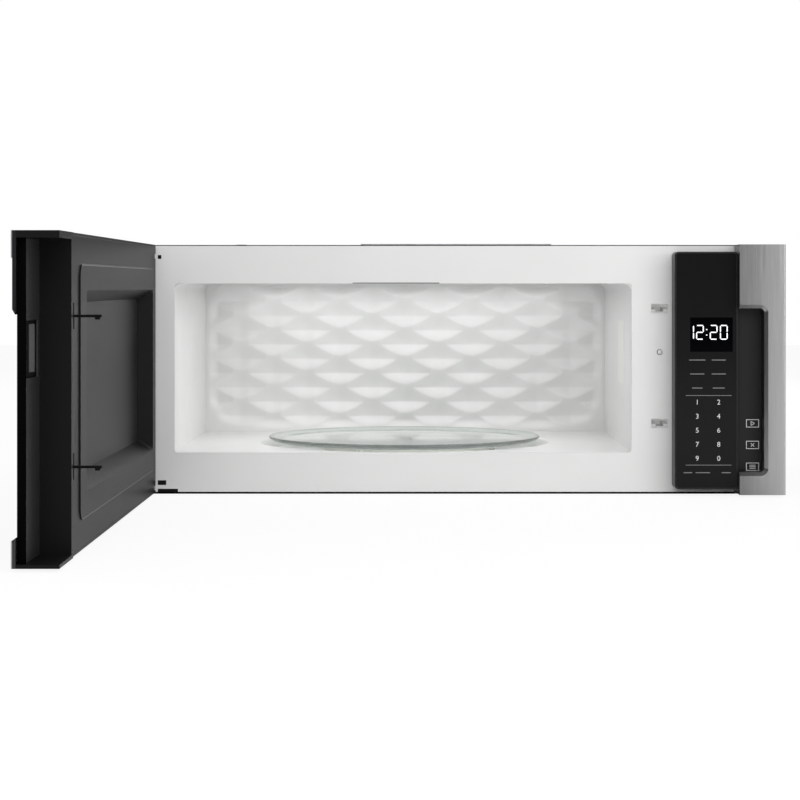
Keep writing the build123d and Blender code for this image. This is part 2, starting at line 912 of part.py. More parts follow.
with BuildPart() as magnetron_yoke:
    block(magnetron_left, magnetron_right, yoke_front, yoke_back, yoke_low, yoke_high)
    block(
        magnetron_left + yoke_sheet,
        magnetron_right - yoke_sheet,
        yoke_front,
        yoke_back,
        yoke_low + yoke_sheet,
        yoke_high - yoke_sheet,
        mode=Mode.SUBTRACT,
    )
    with Locations(Plane(origin=(magnetron_left, waveguide_y, waveguide_z), z_dir=(-1, 0, 0))):
        Hole(antenna_radius + antenna_clearance, yoke_sheet)
magnetron_yoke.part.label = "magnetron_yoke"
export_step(magnetron_yoke.part, "parts/magnetron_yoke.step")

anode_left = magnetron_left + yoke_sheet
anode_length = magnetron_length - 2 * yoke_sheet
fin_pitch = (anode_length - 2 * fin_end_gap) / fin_count
fin_width = magnetron_width - 2 * fin_side_gap
fin_height = magnetron_height - 2 * yoke_sheet - 2 * fin_top_gap

with BuildPart() as magnetron_anode:
    with BuildSketch(side_view(anode_left)):
        with Locations((waveguide_y, waveguide_z)):
            Circle(anode_radius)
    extrude(amount=anode_length)
    with BuildSketch(side_view(anode_left)):
        with Locations((waveguide_y, waveguide_z)):
            Circle(antenna_radius)
    extrude(amount=-antenna_length - yoke_sheet)
    for index in range(fin_count):
        with BuildSketch(side_view(anode_left + fin_end_gap + (index + 0.5) * fin_pitch)):
            with Locations((waveguide_y, waveguide_z)):
                Rectangle(fin_width, fin_height)
        extrude(amount=fin_thickness)
magnetron_anode.part.label = "magnetron_anode"
export_step(magnetron_anode.part, "parts/magnetron_anode.step")

# ---- Cooling fan ---------------------------------------------------------------------

fan_x = bay_x
fan_z = base_sheet + fan_frame_size / 2
fan_motor_back = fan_y + fan_motor_depth
fan_hub_front = fan_y - fan_frame_depth + fan_hub_inset

with BuildPart() as cooling_fan_frame:
    with BuildSketch(elevation(fan_y)):
        with Locations((fan_x, fan_z)):
            RectangleRounded(fan_frame_size, fan_frame_size, fan_frame_corner)
            Circle(fan_bore_radius, mode=Mode.SUBTRACT)
    extrude(amount=fan_frame_depth)
    with BuildSketch(elevation(fan_y)):
        with Locations((fan_x, fan_z)):
            Rectangle(fan_frame_size - 2 * fan_bar_gap, fan_bar_height)
            Rectangle(fan_motor_width - 2 * fan_motor_lap, fan_motor_height - 2 * fan_motor_lap)
            Circle(fan_shaft_radius + fan_shaft_gap, mode=Mode.SUBTRACT)
    extrude(amount=fan_bar_depth)
cooling_fan_frame.part.label = "cooling_fan_frame"
export_step(cooling_fan_frame.part, "parts/cooling_fan_frame.step")

with BuildPart() as cooling_fan_motor:
    with BuildSketch(elevation(fan_y)):
        with Locations((fan_x, fan_z)):
            Rectangle(fan_motor_width, fan_motor_height)
    extrude(amount=-fan_motor_depth)
    with BuildSketch(elevation(fan_motor_back)):
        with Locations((fan_x - fan_motor_width / 4, fan_z)):
            RectangleRounded(fan_coil_width, fan_coil_height, fan_frame_corner)
    extrude(amount=-fan_coil_depth)
    with Locations(Plane(origin=(fan_x, fan_y, fan_z), z_dir=(0, -1, 0))):
        Hole(fan_shaft_radius + shaft_clearance, fan_motor_depth - fan_bore_end)
cooling_fan_motor.part.label = "cooling_fan_motor"
export_step(cooling_fan_motor.part, "parts/cooling_fan_motor.step")

blade_reach = fan_radius - fan_hub_radius + fan_blade_lap

with BuildPart() as cooling_fan_blade:
    with BuildSketch(elevation(fan_hub_front + fan_hub_length)):
        with Locations((fan_x, fan_z)):
            Circle(fan_hub_radius)
    extrude(amount=fan_hub_length)
    with BuildSketch(elevation(fan_motor_back - fan_shaft_end)):
        with Locations((fan_x, fan_z)):
            Circle(fan_shaft_radius)
    extrude(amount=fan_motor_back - fan_shaft_end - fan_hub_front)
    for index in range(fan_blade_count):
        turn = index * math.tau / fan_blade_count
        blade_plane = Plane(
            origin=(fan_x, fan_hub_front + fan_hub_length / 2, fan_z),
            x_dir=(math.cos(turn), 0, math.sin(turn)),
            z_dir=(0, -1, 0),
        )
        blade_middle = fan_radius - fan_blade_tip_gap - blade_reach / 2
        place = Location((blade_middle, 0, 0), (fan_blade_twist, 0, 0))
        with Locations(blade_plane.location * place):
            Box(blade_reach, fan_blade_chord, fan_blade_thickness)
cooling_fan_blade.part.label = "cooling_fan_blade"
export_step(cooling_fan_blade.part, "parts/cooling_fan_blade.step")

# ---- High voltage supply -------------------------------------------------------------

transformer_x = inside_right - transformer_right_gap - transformer_width / 2
core_low = base_sheet
core_high = core_low + transformer_height
core_left = transformer_x - transformer_width / 2
core_right = transformer_x + transformer_width / 2

with BuildPart() as transformer_core:
    with BuildSketch(elevation(transformer_y + transformer_depth / 2)):
        area(core_left, core_right, core_low, core_high)
        for x in (-1, 1):
            with Locations((transformer_x + x * transformer_width / 4, (core_low + core_high) / 2)):
                Rectangle(
                    transformer_width / 2 - 2 * transformer_leg,
                    transformer_height - 2 * transformer_leg,
                    mode=Mode.SUBTRACT,
                )
    extrude(amount=transformer_depth)
transformer_core.part.label = "transformer_core"
export_step(transformer_core.part, "parts/transformer_core.step")

winding_height = transformer_height - 2 * transformer_leg - 2 * winding_end_gap

with BuildPart() as transformer_windings:
    with BuildSketch(Plane.XY.offset(core_low + transformer_leg + winding_end_gap)):
        with Locations((transformer_x, transformer_y)):
            RectangleRounded(
                transformer_width - 2 * transformer_leg - 2 * winding_side_gap,
                transformer_depth + 2 * winding_overhang,
                winding_corner_radius,
            )
            Rectangle(
                2 * (transformer_leg + winding_side_gap),
                transformer_depth + 2 * winding_side_gap,
                mode=Mode.SUBTRACT,
            )
    extrude(amount=winding_height)
transformer_windings.part.label = "transformer_windings"
export_step(transformer_windings.part, "parts/transformer_windings.step")

capacitor_x = inside_right - capacitor_right_gap - capacitor_length / 2
terminal_points = [(capacitor_x + side * terminal_spacing / 2, capacitor_y) for side in (-1, 1)]
can_top = base_sheet + capacitor_height

with BuildPart() as high_voltage_capacitor:
    with BuildSketch(Plane.XY.offset(base_sheet)):
        with Locations((capacitor_x, capacitor_y)):
            SlotOverall(capacitor_length, 2 * capacitor_radius_x)
    extrude(amount=capacitor_height)
    fillet(high_voltage_capacitor.faces().sort_by(Axis.Z)[-1].edges(), capacitor_edge_fillet)
    with BuildSketch(Plane.XY.offset(can_top)):
        with Locations(*terminal_points):
            Circle(terminal_radius)
    extrude(amount=terminal_height)
    with BuildSketch(Plane.XY.offset(can_top + terminal_height)):
        with Locations(*terminal_points):
            Rectangle(tab_thickness, tab_width)
    extrude(amount=tab_height)
high_voltage_capacitor.part.label = "high_voltage_capacitor"
export_step(high_voltage_capacitor.part, "parts/high_voltage_capacitor.step")

diode_back_y = capacitor_y + capacitor_radius_x + diode_depth

with BuildPart() as high_voltage_diode:
    with BuildSketch(elevation(diode_back_y)):
        with Locations((capacitor_x, capacitor_height - diode_drop)):
            RectangleRounded(diode_length, diode_height, diode_corner_radius)
    extrude(amount=diode_depth)
high_voltage_diode.part.label = "high_voltage_diode"
export_step(high_voltage_diode.part, "parts/high_voltage_diode.step")

# ---- Hood blower, duct and exhaust ---------------------------------------------------

duct_floor = wrap_top + duct_floor_gap
duct_left = -exhaust_length / 2 - duct_sheet
duct_right = wrap_right
duct_front = exhaust_front - duct_sheet
duct_back = exhaust_back + duct_sheet
blower_x = bay_x
blower_z = inside_top - duct_sheet - blower_radius

with BuildPart() as exhaust_duct:
    block(duct_left, duct_right, duct_front, duct_back, duct_floor, inside_top)
    block(
        duct_left + duct_sheet,
        duct_right,
        duct_front + duct_sheet,
        duct_back - duct_sheet,
        duct_floor + duct_sheet,
        inside_top,
        mode=Mode.SUBTRACT,
    )
exhaust_duct.part.label = "exhaust_duct"
export_step(exhaust_duct.part, "parts/exhaust_duct.step")

blower_centre = Plane(origin=(blower_x, duct_back, blower_z), x_dir=(1, 0, 0), z_dir=(0, -1, 0))
blower_length = duct_back - duct_front
outlet_drop = duct_floor - blower_z

with BuildPart() as blower_housing:
    with BuildSketch(blower_centre):
        Circle(blower_radius)
        area(duct_right - blower_x, 0, outlet_drop, blower_radius)
    extrude(amount=blower_length)
    with BuildSketch(blower_centre.offset(duct_sheet)):
        Circle(blower_radius - duct_sheet)
        area(duct_right - blower_x, 0, outlet_drop + duct_sheet, blower_radius - duct_sheet)
    extrude(amount=blower_length - 2 * duct_sheet, mode=Mode.SUBTRACT)
    with BuildSketch(blower_centre):
        Circle(blower_inlet_radius)
    extrude(amount=blower_length, mode=Mode.SUBTRACT)
blower_housing.part.label = "blower_housing"
export_step(blower_housing.part, "parts/blower_housing.step")

wheel_length = blower_length - 2 * duct_sheet - 2 * blower_wheel_gap
wheel_back = blower_centre.offset(duct_sheet + blower_wheel_gap)
wheel_front_gap = blower_wheel_gap + duct_sheet + blower_motor_gap
blower_shaft_length = wheel_length / 2 + wheel_front_gap + blower_motor_length - blower_shaft_end

with BuildPart() as blower_wheel:
    with BuildSketch(wheel_back.offset((wheel_length - blower_disc_thickness) / 2)):
        Circle(blower_wheel_radius)
    extrude(amount=blower_disc_thickness)
    for start in (0, wheel_length - blower_disc_thickness):
        with BuildSketch(wheel_back.offset(start)):
            Circle(blower_wheel_radius)
            Circle(blower_wheel_radius - blower_blade_depth, mode=Mode.SUBTRACT)
        extrude(amount=blower_disc_thickness)
    with BuildSketch(wheel_back):
        with PolarLocations(blower_wheel_radius - blower_blade_depth / 2, blower_blade_count):
            Rectangle(
                blower_blade_depth - blower_blade_gap,
                blower_blade_thickness,
                rotation=blower_blade_turn,
            )
    extrude(amount=wheel_length)
    with BuildSketch(wheel_back.offset((wheel_length - blower_hub_length) / 2)):
        Circle(blower_hub_radius)
    extrude(amount=blower_hub_length)
    with BuildSketch(wheel_back.offset(wheel_length / 2)):
        Circle(blower_shaft_radius)
    extrude(amount=blower_shaft_length)
blower_wheel.part.label = "blower_wheel"
export_step(blower_wheel.part, "parts/blower_wheel.step")

spider_front = blower_centre.offset(blower_length)
spider_ring_inner = blower_inlet_radius - spider_ring_in
spider_arm_inner = spider_centre_radius - spider_lap
spider_arm_outer = spider_ring_inner + spider_lap
motor_body_length = blower_motor_length - blower_motor_end

with BuildPart() as blower_motor:
    with BuildSketch(spider_front):
        Circle(blower_inlet_radius + spider_ring_out)
        Circle(spider_ring_inner, mode=Mode.SUBTRACT)
        with PolarLocations((spider_arm_inner + spider_arm_outer) / 2, 3):
            Rectangle(spider_arm_outer - spider_arm_inner, spider_arm_width)
        Circle(spider_centre_radius)
        Circle(blower_shaft_radius + blower_shaft_gap, mode=Mode.SUBTRACT)
    extrude(amount=blower_motor_gap)
    with BuildSketch(spider_front.offset(blower_motor_gap)):
        Circle(blower_motor_radius)
        Circle(blower_shaft_radius + shaft_clearance, mode=Mode.SUBTRACT)
    extrude(amount=motor_body_length)
    with BuildSketch(spider_front.offset(blower_motor_gap + motor_body_length)):
        Circle(blower_motor_radius)
    extrude(amount=blower_motor_end)
    fillet(blower_motor.faces().sort_by(Axis.Y)[0].edges(), blower_motor_fillet)
blower_motor.part.label = "blower_motor"
export_step(blower_motor.part, "parts/blower_motor.step")

collar_left = -exhaust_length / 2
damper_pin_z = cabinet_height + exhaust_sheet + damper_pin_lift
damper_pin_y = exhaust_back - collar_sheet - damper_pin_radius - damper_clearance

with BuildPart() as exhaust_adapter:
    with BuildSketch(Plane.XY.offset(cabinet_height)):
        with Locations((0, exhaust_y)):
            RectangleRounded(
                exhaust_length + 2 * exhaust_flange,
                exhaust_width + 2 * exhaust_flange,
                exhaust_flange_corner,
            )
            Rectangle(
                exhaust_length - 2 * collar_sheet,
                exhaust_width - 2 * collar_sheet,
                mode=Mode.SUBTRACT,
            )
    extrude(amount=exhaust_sheet)
    with BuildSketch(Plane.XY.offset(cabinet_height + exhaust_sheet)):
        with Locations((0, exhaust_y)):
            Rectangle(exhaust_length, exhaust_width)
            Rectangle(
                exhaust_length - 2 * collar_sheet,
                exhaust_width - 2 * collar_sheet,
                mode=Mode.SUBTRACT,
            )
    extrude(amount=collar_height)
    with BuildSketch(side_view(collar_left)):
        with Locations((damper_pin_y, damper_pin_z)):
            Circle(damper_pin_radius + shaft_clearance)
    extrude(amount=exhaust_length, mode=Mode.SUBTRACT)
exhaust_adapter.part.label = "exhaust_adapter"
export_step(exhaust_adapter.part, "parts/exhaust_adapter.step")

damper_half = exhaust_length / 2 - collar_sheet - damper_clearance
damper_front = exhaust_front + collar_sheet + damper_clearance

with BuildPart() as exhaust_damper:
    block(
        -damper_half,
        damper_half,
        damper_front,
        damper_pin_y,
        damper_pin_z - damper_thickness / 2,
        damper_pin_z + damper_thickness / 2,
    )
    with BuildSketch(side_view(collar_left)):
        with Locations((damper_pin_y, damper_pin_z)):
            Circle(damper_pin_radius)
    extrude(amount=exhaust_length)
exhaust_damper.part.label = "exhaust_damper"
export_step(exhaust_damper.part, "parts/exhaust_damper.step")

# ---- Underside: grease filters and hood lamps ----------------------------------------

for name, (x, y) in zip(("grease_filter_left", "grease_filter_right"), filter_centres):
    with BuildPart() as grease_filter:
        with BuildSketch(Plane.XY.offset(seat_gap)):
            with Locations((x, y)):
                RectangleRounded(filter_length, filter_width, filter_corner_radius)
        extrude(amount=filter_thickness)
        for low in (seat_gap, seat_gap + (filter_thickness + filter_web) / 2):
            with BuildSketch(Plane.XY.offset(low)):
                with Locations((x, y)):
                    RectangleRounded(
                        filter_length - 2 * filter_rim,
                        filter_width - 2 * filter_rim,
                        filter_corner_radius,
                    )
            extrude(amount=(filter_thickness - filter_web) / 2, mode=Mode.SUBTRACT)
    grease_filter.part.label = name
    export_step(grease_filter.part, f"parts/{name}.step")

with BuildPart() as lamp_lenses:
    with BuildSketch(Plane.XY.offset(base_sheet)):
        with Locations(*lamp_centres):
            RectangleRounded(
                lamp_length + 2 * lens_flange,
                lamp_width + 2 * lens_flange,
                lens_corner_radius + soft_corner,
            )
    extrude(amount=lens_thickness)
    with BuildSketch(Plane.XY.offset(seat_gap)):
        with Locations(*lamp_centres):
            RectangleRounded(
                lamp_length - 2 * seat_gap,
                lamp_width - 2 * seat_gap,
                lens_corner_radius - seat_gap,
            )
    extrude(amount=base_sheet - seat_gap)
lamp_lenses.part.label = "lamp_lenses"
export_step(lamp_lenses.part, "parts/lamp_lenses.step")

lamp_low = base_sheet + lens_thickness
lamp_roof = lamp_low + lamp_holder_height - lamp_wall

with BuildPart() as hood_lamps:
    with BuildSketch(Plane.XY.offset(lamp_low)):
        with Locations(*lamp_centres):
            RectangleRounded(
                lamp_length + 2 * lamp_wall,
                lamp_width + 2 * lamp_wall,
                lens_corner_radius + lamp_wall,
            )
    extrude(amount=lamp_holder_height)
    with BuildSketch(Plane.XY.offset(lamp_low)):
        with Locations(*lamp_centres):
            RectangleRounded(lamp_length, lamp_width, lens_corner_radius)
    extrude(amount=lamp_holder_height - lamp_wall, mode=Mode.SUBTRACT)
    with BuildSketch(Plane.XY.offset(lamp_roof)):
        with Locations(*lamp_centres):
            Circle(bulb_radius)
    extrude(amount=-bulb_height)
hood_lamps.part.label = "hood_lamps"
export_step(hood_lamps.part, "parts/hood_lamps.step")

# ---- Small electrical pieces ---------------------------------------------------------

cavity_lamp_place = (cavity_lamp_y, cavity_top - cavity_lamp_drop)

with BuildPart() as cavity_lamp:
    with BuildSketch(side_view(wrap_right)):
        with Locations(cavity_lamp_place):
            RectangleRounded(cavity_lamp_width, cavity_lamp_height, cavity_lamp_corner)
    extrude(amount=cavity_lamp_depth)
    with BuildSketch(side_view(wrap_right + cavity_lamp_depth)):
        with Locations(cavity_lamp_place):
            Circle(lamp_plug_radius)
    extrude(amount=lamp_plug_length)
cavity_lamp.part.label = "cavity_lamp"
export_step(cavity_lamp.part, "parts/cavity_lamp.step")

with BuildPart() as thermal_cutouts:
    for y in (cutout_front_y, cutout_back_y):
        with BuildSketch(side_view(wrap_right)):
            with Locations((y, cutout_z)):
                SlotOverall(cutout_tab_length, cutout_tab_width)
        extrude(amount=cutout_tab_sheet)
        with BuildSketch(side_view(wrap_right + cutout_tab_sheet)):
            with Locations((y, cutout_z)):
                Circle(cutout_can_radius)
        extrude(amount=cutout_can_height)
thermal_cutouts.part.label = "thermal_cutouts"
export_step(thermal_cutouts.part, "parts/thermal_cutouts.step")

filter_board_x = inside_left + standoff_length
filter_part_x = filter_board_x + board_thickness

with BuildPart() as line_filter_board:
    with BuildSketch(side_view(inside_left)):
        with Locations((filter_board_y, filter_board_z)):
            with GridLocations(
                filter_board_width - 2 * standoff_inset,
                filter_board_height - 2 * standoff_inset,
                2,
                2,
            ):
                Circle(standoff_radius)
    extrude(amount=standoff_length)
    with BuildSketch(side_view(filter_board_x)):
        with Locations((filter_board_y, filter_board_z)):
            Rectangle(filter_board_width, filter_board_height)
    extrude(amount=board_thickness)
    with BuildSketch(side_view(filter_part_x)):
        with Locations((filter_board_y, filter_board_z - filter_part_offset)):
            with GridLocations(choke_coil_spacing, choke_coil_spacing, 2, 1):
                Circle(choke_coil_radius)
        with Locations((filter_board_y, filter_board_z + filter_part_offset)):
            Rectangle(filter_block_width, filter_block_height)
    extrude(amount=filter_part_depth)
line_filter_board.part.label = "line_filter_board"
export_step(line_filter_board.part, "parts/line_filter_board.step")

cord_hole = (cord_hole_x, cord_hole_y)
bushing_flange_top = cabinet_height + bushing_flange_thickness
bushing_top = cabinet_height + bushing_height
bushing_low = inside_top - bushing_neck

with BuildPart() as cord_bushing:
    with BuildSketch(Plane.XY.offset(bushing_low)):
        with Locations(cord_hole):
            Circle(cord_hole_radius - seat_gap)
    extrude(amount=bushing_neck + case_sheet)
    with BuildSketch(Plane.XY.offset(cabinet_height)):
        with Locations(cord_hole):
            Circle(cord_hole_radius + bushing_flange)
    extrude(amount=bushing_flange_thickness)
    with BuildSketch(Plane.XY.offset(bushing_flange_top)):
        with Locations(cord_hole):
            Circle(cord_hole_radius - bushing_tip_inset)
    extrude(amount=bushing_top - bushing_flange_top, taper=bushing_taper)
    with Locations((*cord_hole, bushing_top)):
        Hole(bushing_bore_radius, bushing_top - bushing_low)
cord_bushing.part.label = "cord_bushing"
export_step(cord_bushing.part, "parts/cord_bushing.step")

# ---- Latch receiver behind the front frame -------------------------------------------

bracket_front = frame_back_y
bracket_back = bracket_front + bracket_sheet
receiver_low = latch_low - receiver_end
receiver_high = latch_high + receiver_end
receiver_back = bracket_back + receiver_depth
receiver_half = latch_slot_width / 2 + receiver_wall
catch_top = -hook_height / 2 - hook_barb - catch_gap
catch_low = catch_top - switch_width
path_half = hook_thickness / 2 + ramp_side_gap

with BuildPart() as latch_bracket:
    with BuildSketch(elevation(bracket_back)):
        area(
            latch_x - bracket_half_width,
            latch_x + bracket_half_width,
            receiver_low,
            receiver_high,
        )
        with Locations(*latch_slots):
            Rectangle(latch_slot_width, latch_slot_height + 2 * latch_travel, mode=Mode.SUBTRACT)
        with Locations((latch_x, frame_hole_height)):
            Circle(frame_hole_radius, mode=Mode.SUBTRACT)
    extrude(amount=bracket_sheet)
    for slot_z in (latch_low, latch_high):
        with BuildSketch(elevation(receiver_back)):
            area(
                latch_x - receiver_half,
                latch_x + receiver_half,
                slot_z + catch_low,
                slot_z + catch_top,
            )
        extrude(amount=receiver_depth)
        # ramps on both sides of the hook's path, rising from the front
        for side in (-1, 1):
            with BuildSketch(side_view(latch_x + side * (path_half + receiver_half) / 2)):
                with BuildLine():
                    Polyline(
                        (bracket_back, slot_z + catch_top),
                        (bracket_back, slot_z - hook_height / 2),
                        (bracket_back + ramp_length, slot_z + hook_height / 2),
                        (receiver_back, slot_z + hook_height / 2),
                        (receiver_back, slot_z + catch_top),
                        close=True,
                    )
                make_face()
            extrude(amount=(receiver_half - path_half) / 2, both=True)
latch_bracket.part.label = "latch_bracket"
export_step(latch_bracket.part, "parts/latch_bracket.step")

with BuildPart() as interlock_switches:
    for slot_z in (latch_low, latch_high):
        with BuildSketch(elevation(receiver_back + switch_depth)):
            area(
                latch_x - switch_length / 2,
                latch_x + switch_length / 2,
                slot_z + catch_low,
                slot_z + catch_top,
            )
        extrude(amount=switch_depth)
        with BuildSketch(elevation(receiver_back)):
            area(
                latch_x - switch_length / 2,
                latch_x + switch_length / 2,
                slot_z + catch_low - switch_width,
                slot_z + catch_low,
            )
        extrude(amount=receiver_depth - switch_depth)
interlock_switches.part.label = "interlock_switches"
export_step(interlock_switches.part, "parts/interlock_switches.step")

# ---- Hinge brackets: an arm through the front frame, a pin, and a leaf behind the frame

for name, arm_z, pin_start in (
    ("hinge_bracket_lower", hinge_arm_low, hinge_arm_low + hinge_arm_thickness),
    ("hinge_bracket_upper", arm_levels[1], arm_levels[1] - hinge_pin_length),
):
    with BuildPart() as hinge_bracket:
        with BuildSketch(Plane.XY.offset(arm_z)):
            with Locations((hinge_x, hinge_y)):
                Circle(hinge_arm_half_width)
            area(
                hinge_x - hinge_arm_half_width,
                hinge_x + hinge_arm_half_width,
                hinge_y,
                frame_back_y + hinge_leaf_sheet,
            )
        extrude(amount=hinge_arm_thickness)
        leaf_low = arm_z if pin_start > arm_z else arm_z + hinge_arm_thickness - hinge_leaf_height
        block(
            hinge_x - hinge_arm_half_width + seat_gap,
            hinge_x + hinge_leaf_reach,
            frame_back_y,
            frame_back_y + hinge_leaf_sheet,
            leaf_low,
            leaf_low + hinge_leaf_height,
        )
        with BuildSketch(Plane.XY.offset(pin_start)):
            with Locations((hinge_x, hinge_y)):
                Circle(hinge_pin_radius)
        extrude(amount=hinge_pin_length)
    hinge_bracket.part.label = name
    export_step(hinge_bracket.part, f"parts/{name}.step")

# ---- Control panel -------------------------------------------------------------------

panel_right = column_left
glass_recess_y = panel_front_y + panel_glass_thickness
display_left = panel_left + display_left_offset
display_right = display_left + display_width
display_top = display_bottom + display_height

with BuildPart() as panel_housing:
    with BuildSketch(elevation(front_y)):
        rounded_area(panel_left, panel_right, panel_bottom, panel_top, panel_corner_radius)
    extrude(amount=panel_depth)
    fillet(panel_housing.faces().sort_by(Axis.Y)[0].edges(), panel_edge_fillet)
    with BuildSketch(elevation(front_y)):
        rounded_area(
            panel_left + panel_wall,
            panel_right - panel_wall,
            panel_bottom + panel_wall,
            panel_top - panel_wall,
            panel_corner_radius - panel_wall,
        )
    extrude(amount=panel_depth - panel_wall - panel_glass_thickness, mode=Mode.SUBTRACT)
    with BuildSketch(elevation(panel_front_y)):
        rounded_area(
            panel_left + panel_glass_margin,
            panel_right - panel_glass_margin,
            panel_bottom + panel_glass_margin,
            panel_top - panel_glass_margin,
            panel_corner_radius - panel_glass_margin,
        )
    extrude(amount=-panel_glass_thickness, mode=Mode.SUBTRACT)
    with BuildSketch(elevation(glass_recess_y)):
        area(display_left, display_right, display_bottom, display_top)
    extrude(amount=-panel_wall, mode=Mode.SUBTRACT)
panel_housing.part.label = "panel_housing"
export_step(panel_housing.part, "parts/panel_housing.step")

with BuildPart() as panel_glass:
    with BuildSketch(elevation(glass_recess_y)):
        rounded_area(
            panel_left + panel_glass_margin,
            panel_right - panel_glass_margin,
            panel_bottom + panel_glass_margin,
            panel_top - panel_glass_margin,
            panel_corner_radius - panel_glass_margin,
        )
        area(display_left, display_right, display_bottom, display_top, mode=Mode.SUBTRACT)
    extrude(amount=panel_glass_thickness)
panel_glass.part.label = "panel_glass"
export_step(panel_glass.part, "parts/panel_glass.step")

display_back = glass_recess_y + display_body_depth
with BuildPart() as display_module:
    block(
        display_left,
        display_right,
        panel_front_y,
        glass_recess_y + panel_wall,
        display_bottom,
        display_top,
    )
    block(
        display_left - display_flange,
        display_right,
        glass_recess_y + panel_wall,
        display_back,
        display_bottom - display_flange,
        display_top + display_flange,
    )
display_module.part.label = "display_module"
export_step(display_module.part, "parts/display_module.step")

board_left = panel_left + board_margin
board_right = panel_right - board_margin
board_low = panel_bottom + board_margin
board_high = panel_top - board_margin
board_back = display_back + board_thickness
component_back = board_back + component_height
relay_left = board_left + relay_margin
board_posts = [
    (board_left + board_post_inset, board_low + board_post_inset),
    (board_right - board_post_inset, board_high - board_post_inset),
]

with BuildPart() as control_board:
    block(board_left, board_right, display_back, board_back, board_low, board_high)
    for index in range(relay_count):
        low = relay_low + index * relay_pitch
        block(
            relay_left, relay_left + relay_width, board_back, component_back, low, low + relay_height
        )
    block(
        board_left + supply_left_margin,
        board_right - supply_right_margin,
        board_back,
        component_back,
        relay_low,
        relay_low + supply_height,
    )
    for x, z in board_posts:
        block(
            x - board_post_half,
            x + board_post_half,
            glass_recess_y + panel_wall,
            display_back,
            z - board_post_half,
            z + board_post_half,
        )
control_board.part.label = "control_board"
export_step(control_board.part, "parts/control_board.step")

# ---- Trim column and finger pocket ---------------------------------------------------

pocket_right = column_left + pocket_width
pocket_top = pocket_bottom + pocket_height
pocket_floor_y = column_front_y + pocket_depth
open_side = column_left - 2 * pocket_corner_radius


def pocket_outline(inset):
    """The pocket's outline, open to the left, drawn some distance inside its edge."""
    rounded_area(
        open_side,
        pocket_right - inset,
        pocket_bottom + inset,
        pocket_top - inset,
        pocket_corner_radius - inset,
    )


with BuildPart() as trim_column:
    with BuildSketch(elevation(front_y)):
        area(column_left, right, column_bottom, column_top)
    extrude(amount=column_depth)
    front_face = trim_column.faces().sort_by(Axis.Y)[0]
    fillet(front_face.edges().filter_by(Axis.Z).sort_by(Axis.X)[-1], column_edge_radius)
    block(
        column_left + column_sheet,
        right - column_sheet,
        column_front_y + column_sheet,
        front_y,
        column_bottom + column_sheet,
        column_top - column_sheet,
        mode=Mode.SUBTRACT,
    )
    # the rolled edge of the pocket stands behind the face
    with BuildSketch(elevation(column_front_y + column_sheet)):
        area(
            column_left,
            pocket_right + column_sheet,
            pocket_bottom - column_sheet,
            pocket_top + column_sheet,
        )
    extrude(amount=-pocket_roll)
    with BuildSketch(elevation(column_front_y)):
        pocket_outline(0)
    with BuildSketch(elevation(column_front_y + pocket_roll)):
        pocket_outline(pocket_roll)
    loft(mode=Mode.SUBTRACT)
    with BuildSketch(elevation(column_front_y + pocket_roll)):
        pocket_outline(pocket_roll)
    extrude(amount=-(pocket_depth - pocket_roll), mode=Mode.SUBTRACT)
trim_column.part.label = "trim_column"
export_step(trim_column.part, "parts/trim_column.step")

liner_front = column_front_y + pocket_roll + column_sheet
with BuildPart() as pocket_liner:
    with BuildSketch(elevation(pocket_floor_y + liner_wall)):
        rounded_area(
            open_side,
            pocket_right - pocket_roll + liner_wall,
            pocket_bottom + pocket_roll - liner_wall,
            pocket_top - pocket_roll + liner_wall,
            pocket_corner_radius - pocket_roll + liner_wall,
        )
    extrude(amount=pocket_floor_y + liner_wall - liner_front)
    with BuildSketch(elevation(pocket_floor_y)):
        pocket_outline(pocket_roll)
    extrude(amount=pocket_depth, mode=Mode.SUBTRACT)
    block(
        open_side - overcut,
        column_left + column_sheet,
        column_front_y,
        front_y,
        column_bottom,
        pocket_bottom + pocket_roll,
        mode=Mode.SUBTRACT,
    )
    block(
        open_side - overcut,
        column_left + column_sheet,
        column_front_y,
        front_y,
        pocket_top - pocket_roll,
        column_top,
        mode=Mode.SUBTRACT,
    )
    block(
        open_side - overcut,
        column_left,
        column_front_y,
        front_y,
        column_bottom,
        column_top,
        mode=Mode.SUBTRACT,
    )
    block(
        column_left,
        column_left + column_sheet,
        pocket_floor_y,
        front_y,
        column_bottom,
        column_top,
        mode=Mode.SUBTRACT,
    )
pocket_liner.part.label = "pocket_liner"
export_step(pocket_liner.part, "parts/pocket_liner.step")

# ---- Door, standing open -------------------------------------------------------------

notch_low = pocket_bottom - notch_low_lap
notch_high = pocket_top + notch_high_lap
notch_u = door_free_end - notch_depth
frame_free_end = door_free_end - frame_end_inset
display_cut_near = display_left - display_cut_side - hinge_x
display_cut_low = display_bottom - display_cut_below
display_cut_high = display_top + display_cut_above
window_near = door_near + window_margin_hinge
window_far = door_thick_end - window_margin_free
window_low = door_bottom + window_margin_bottom
window_high = door_top - window_margin_top
thin_depth = door_thickness - thin_end_thickness

with BuildPart() as door_skin:
    with BuildSketch(door_face(door_thickness - door_skin_sheet)):
        area(door_near, door_free_end, door_bottom, door_top)
        area(
            door_near + door_band,
            door_free_end + overcut,
            door_bottom + door_band,
            door_top - door_band,
            mode=Mode.SUBTRACT,
        )
    extrude(amount=door_skin_sheet)
door_skin.part.label = "door_skin"
export_step(door_skin.part, "parts/door_skin.step")

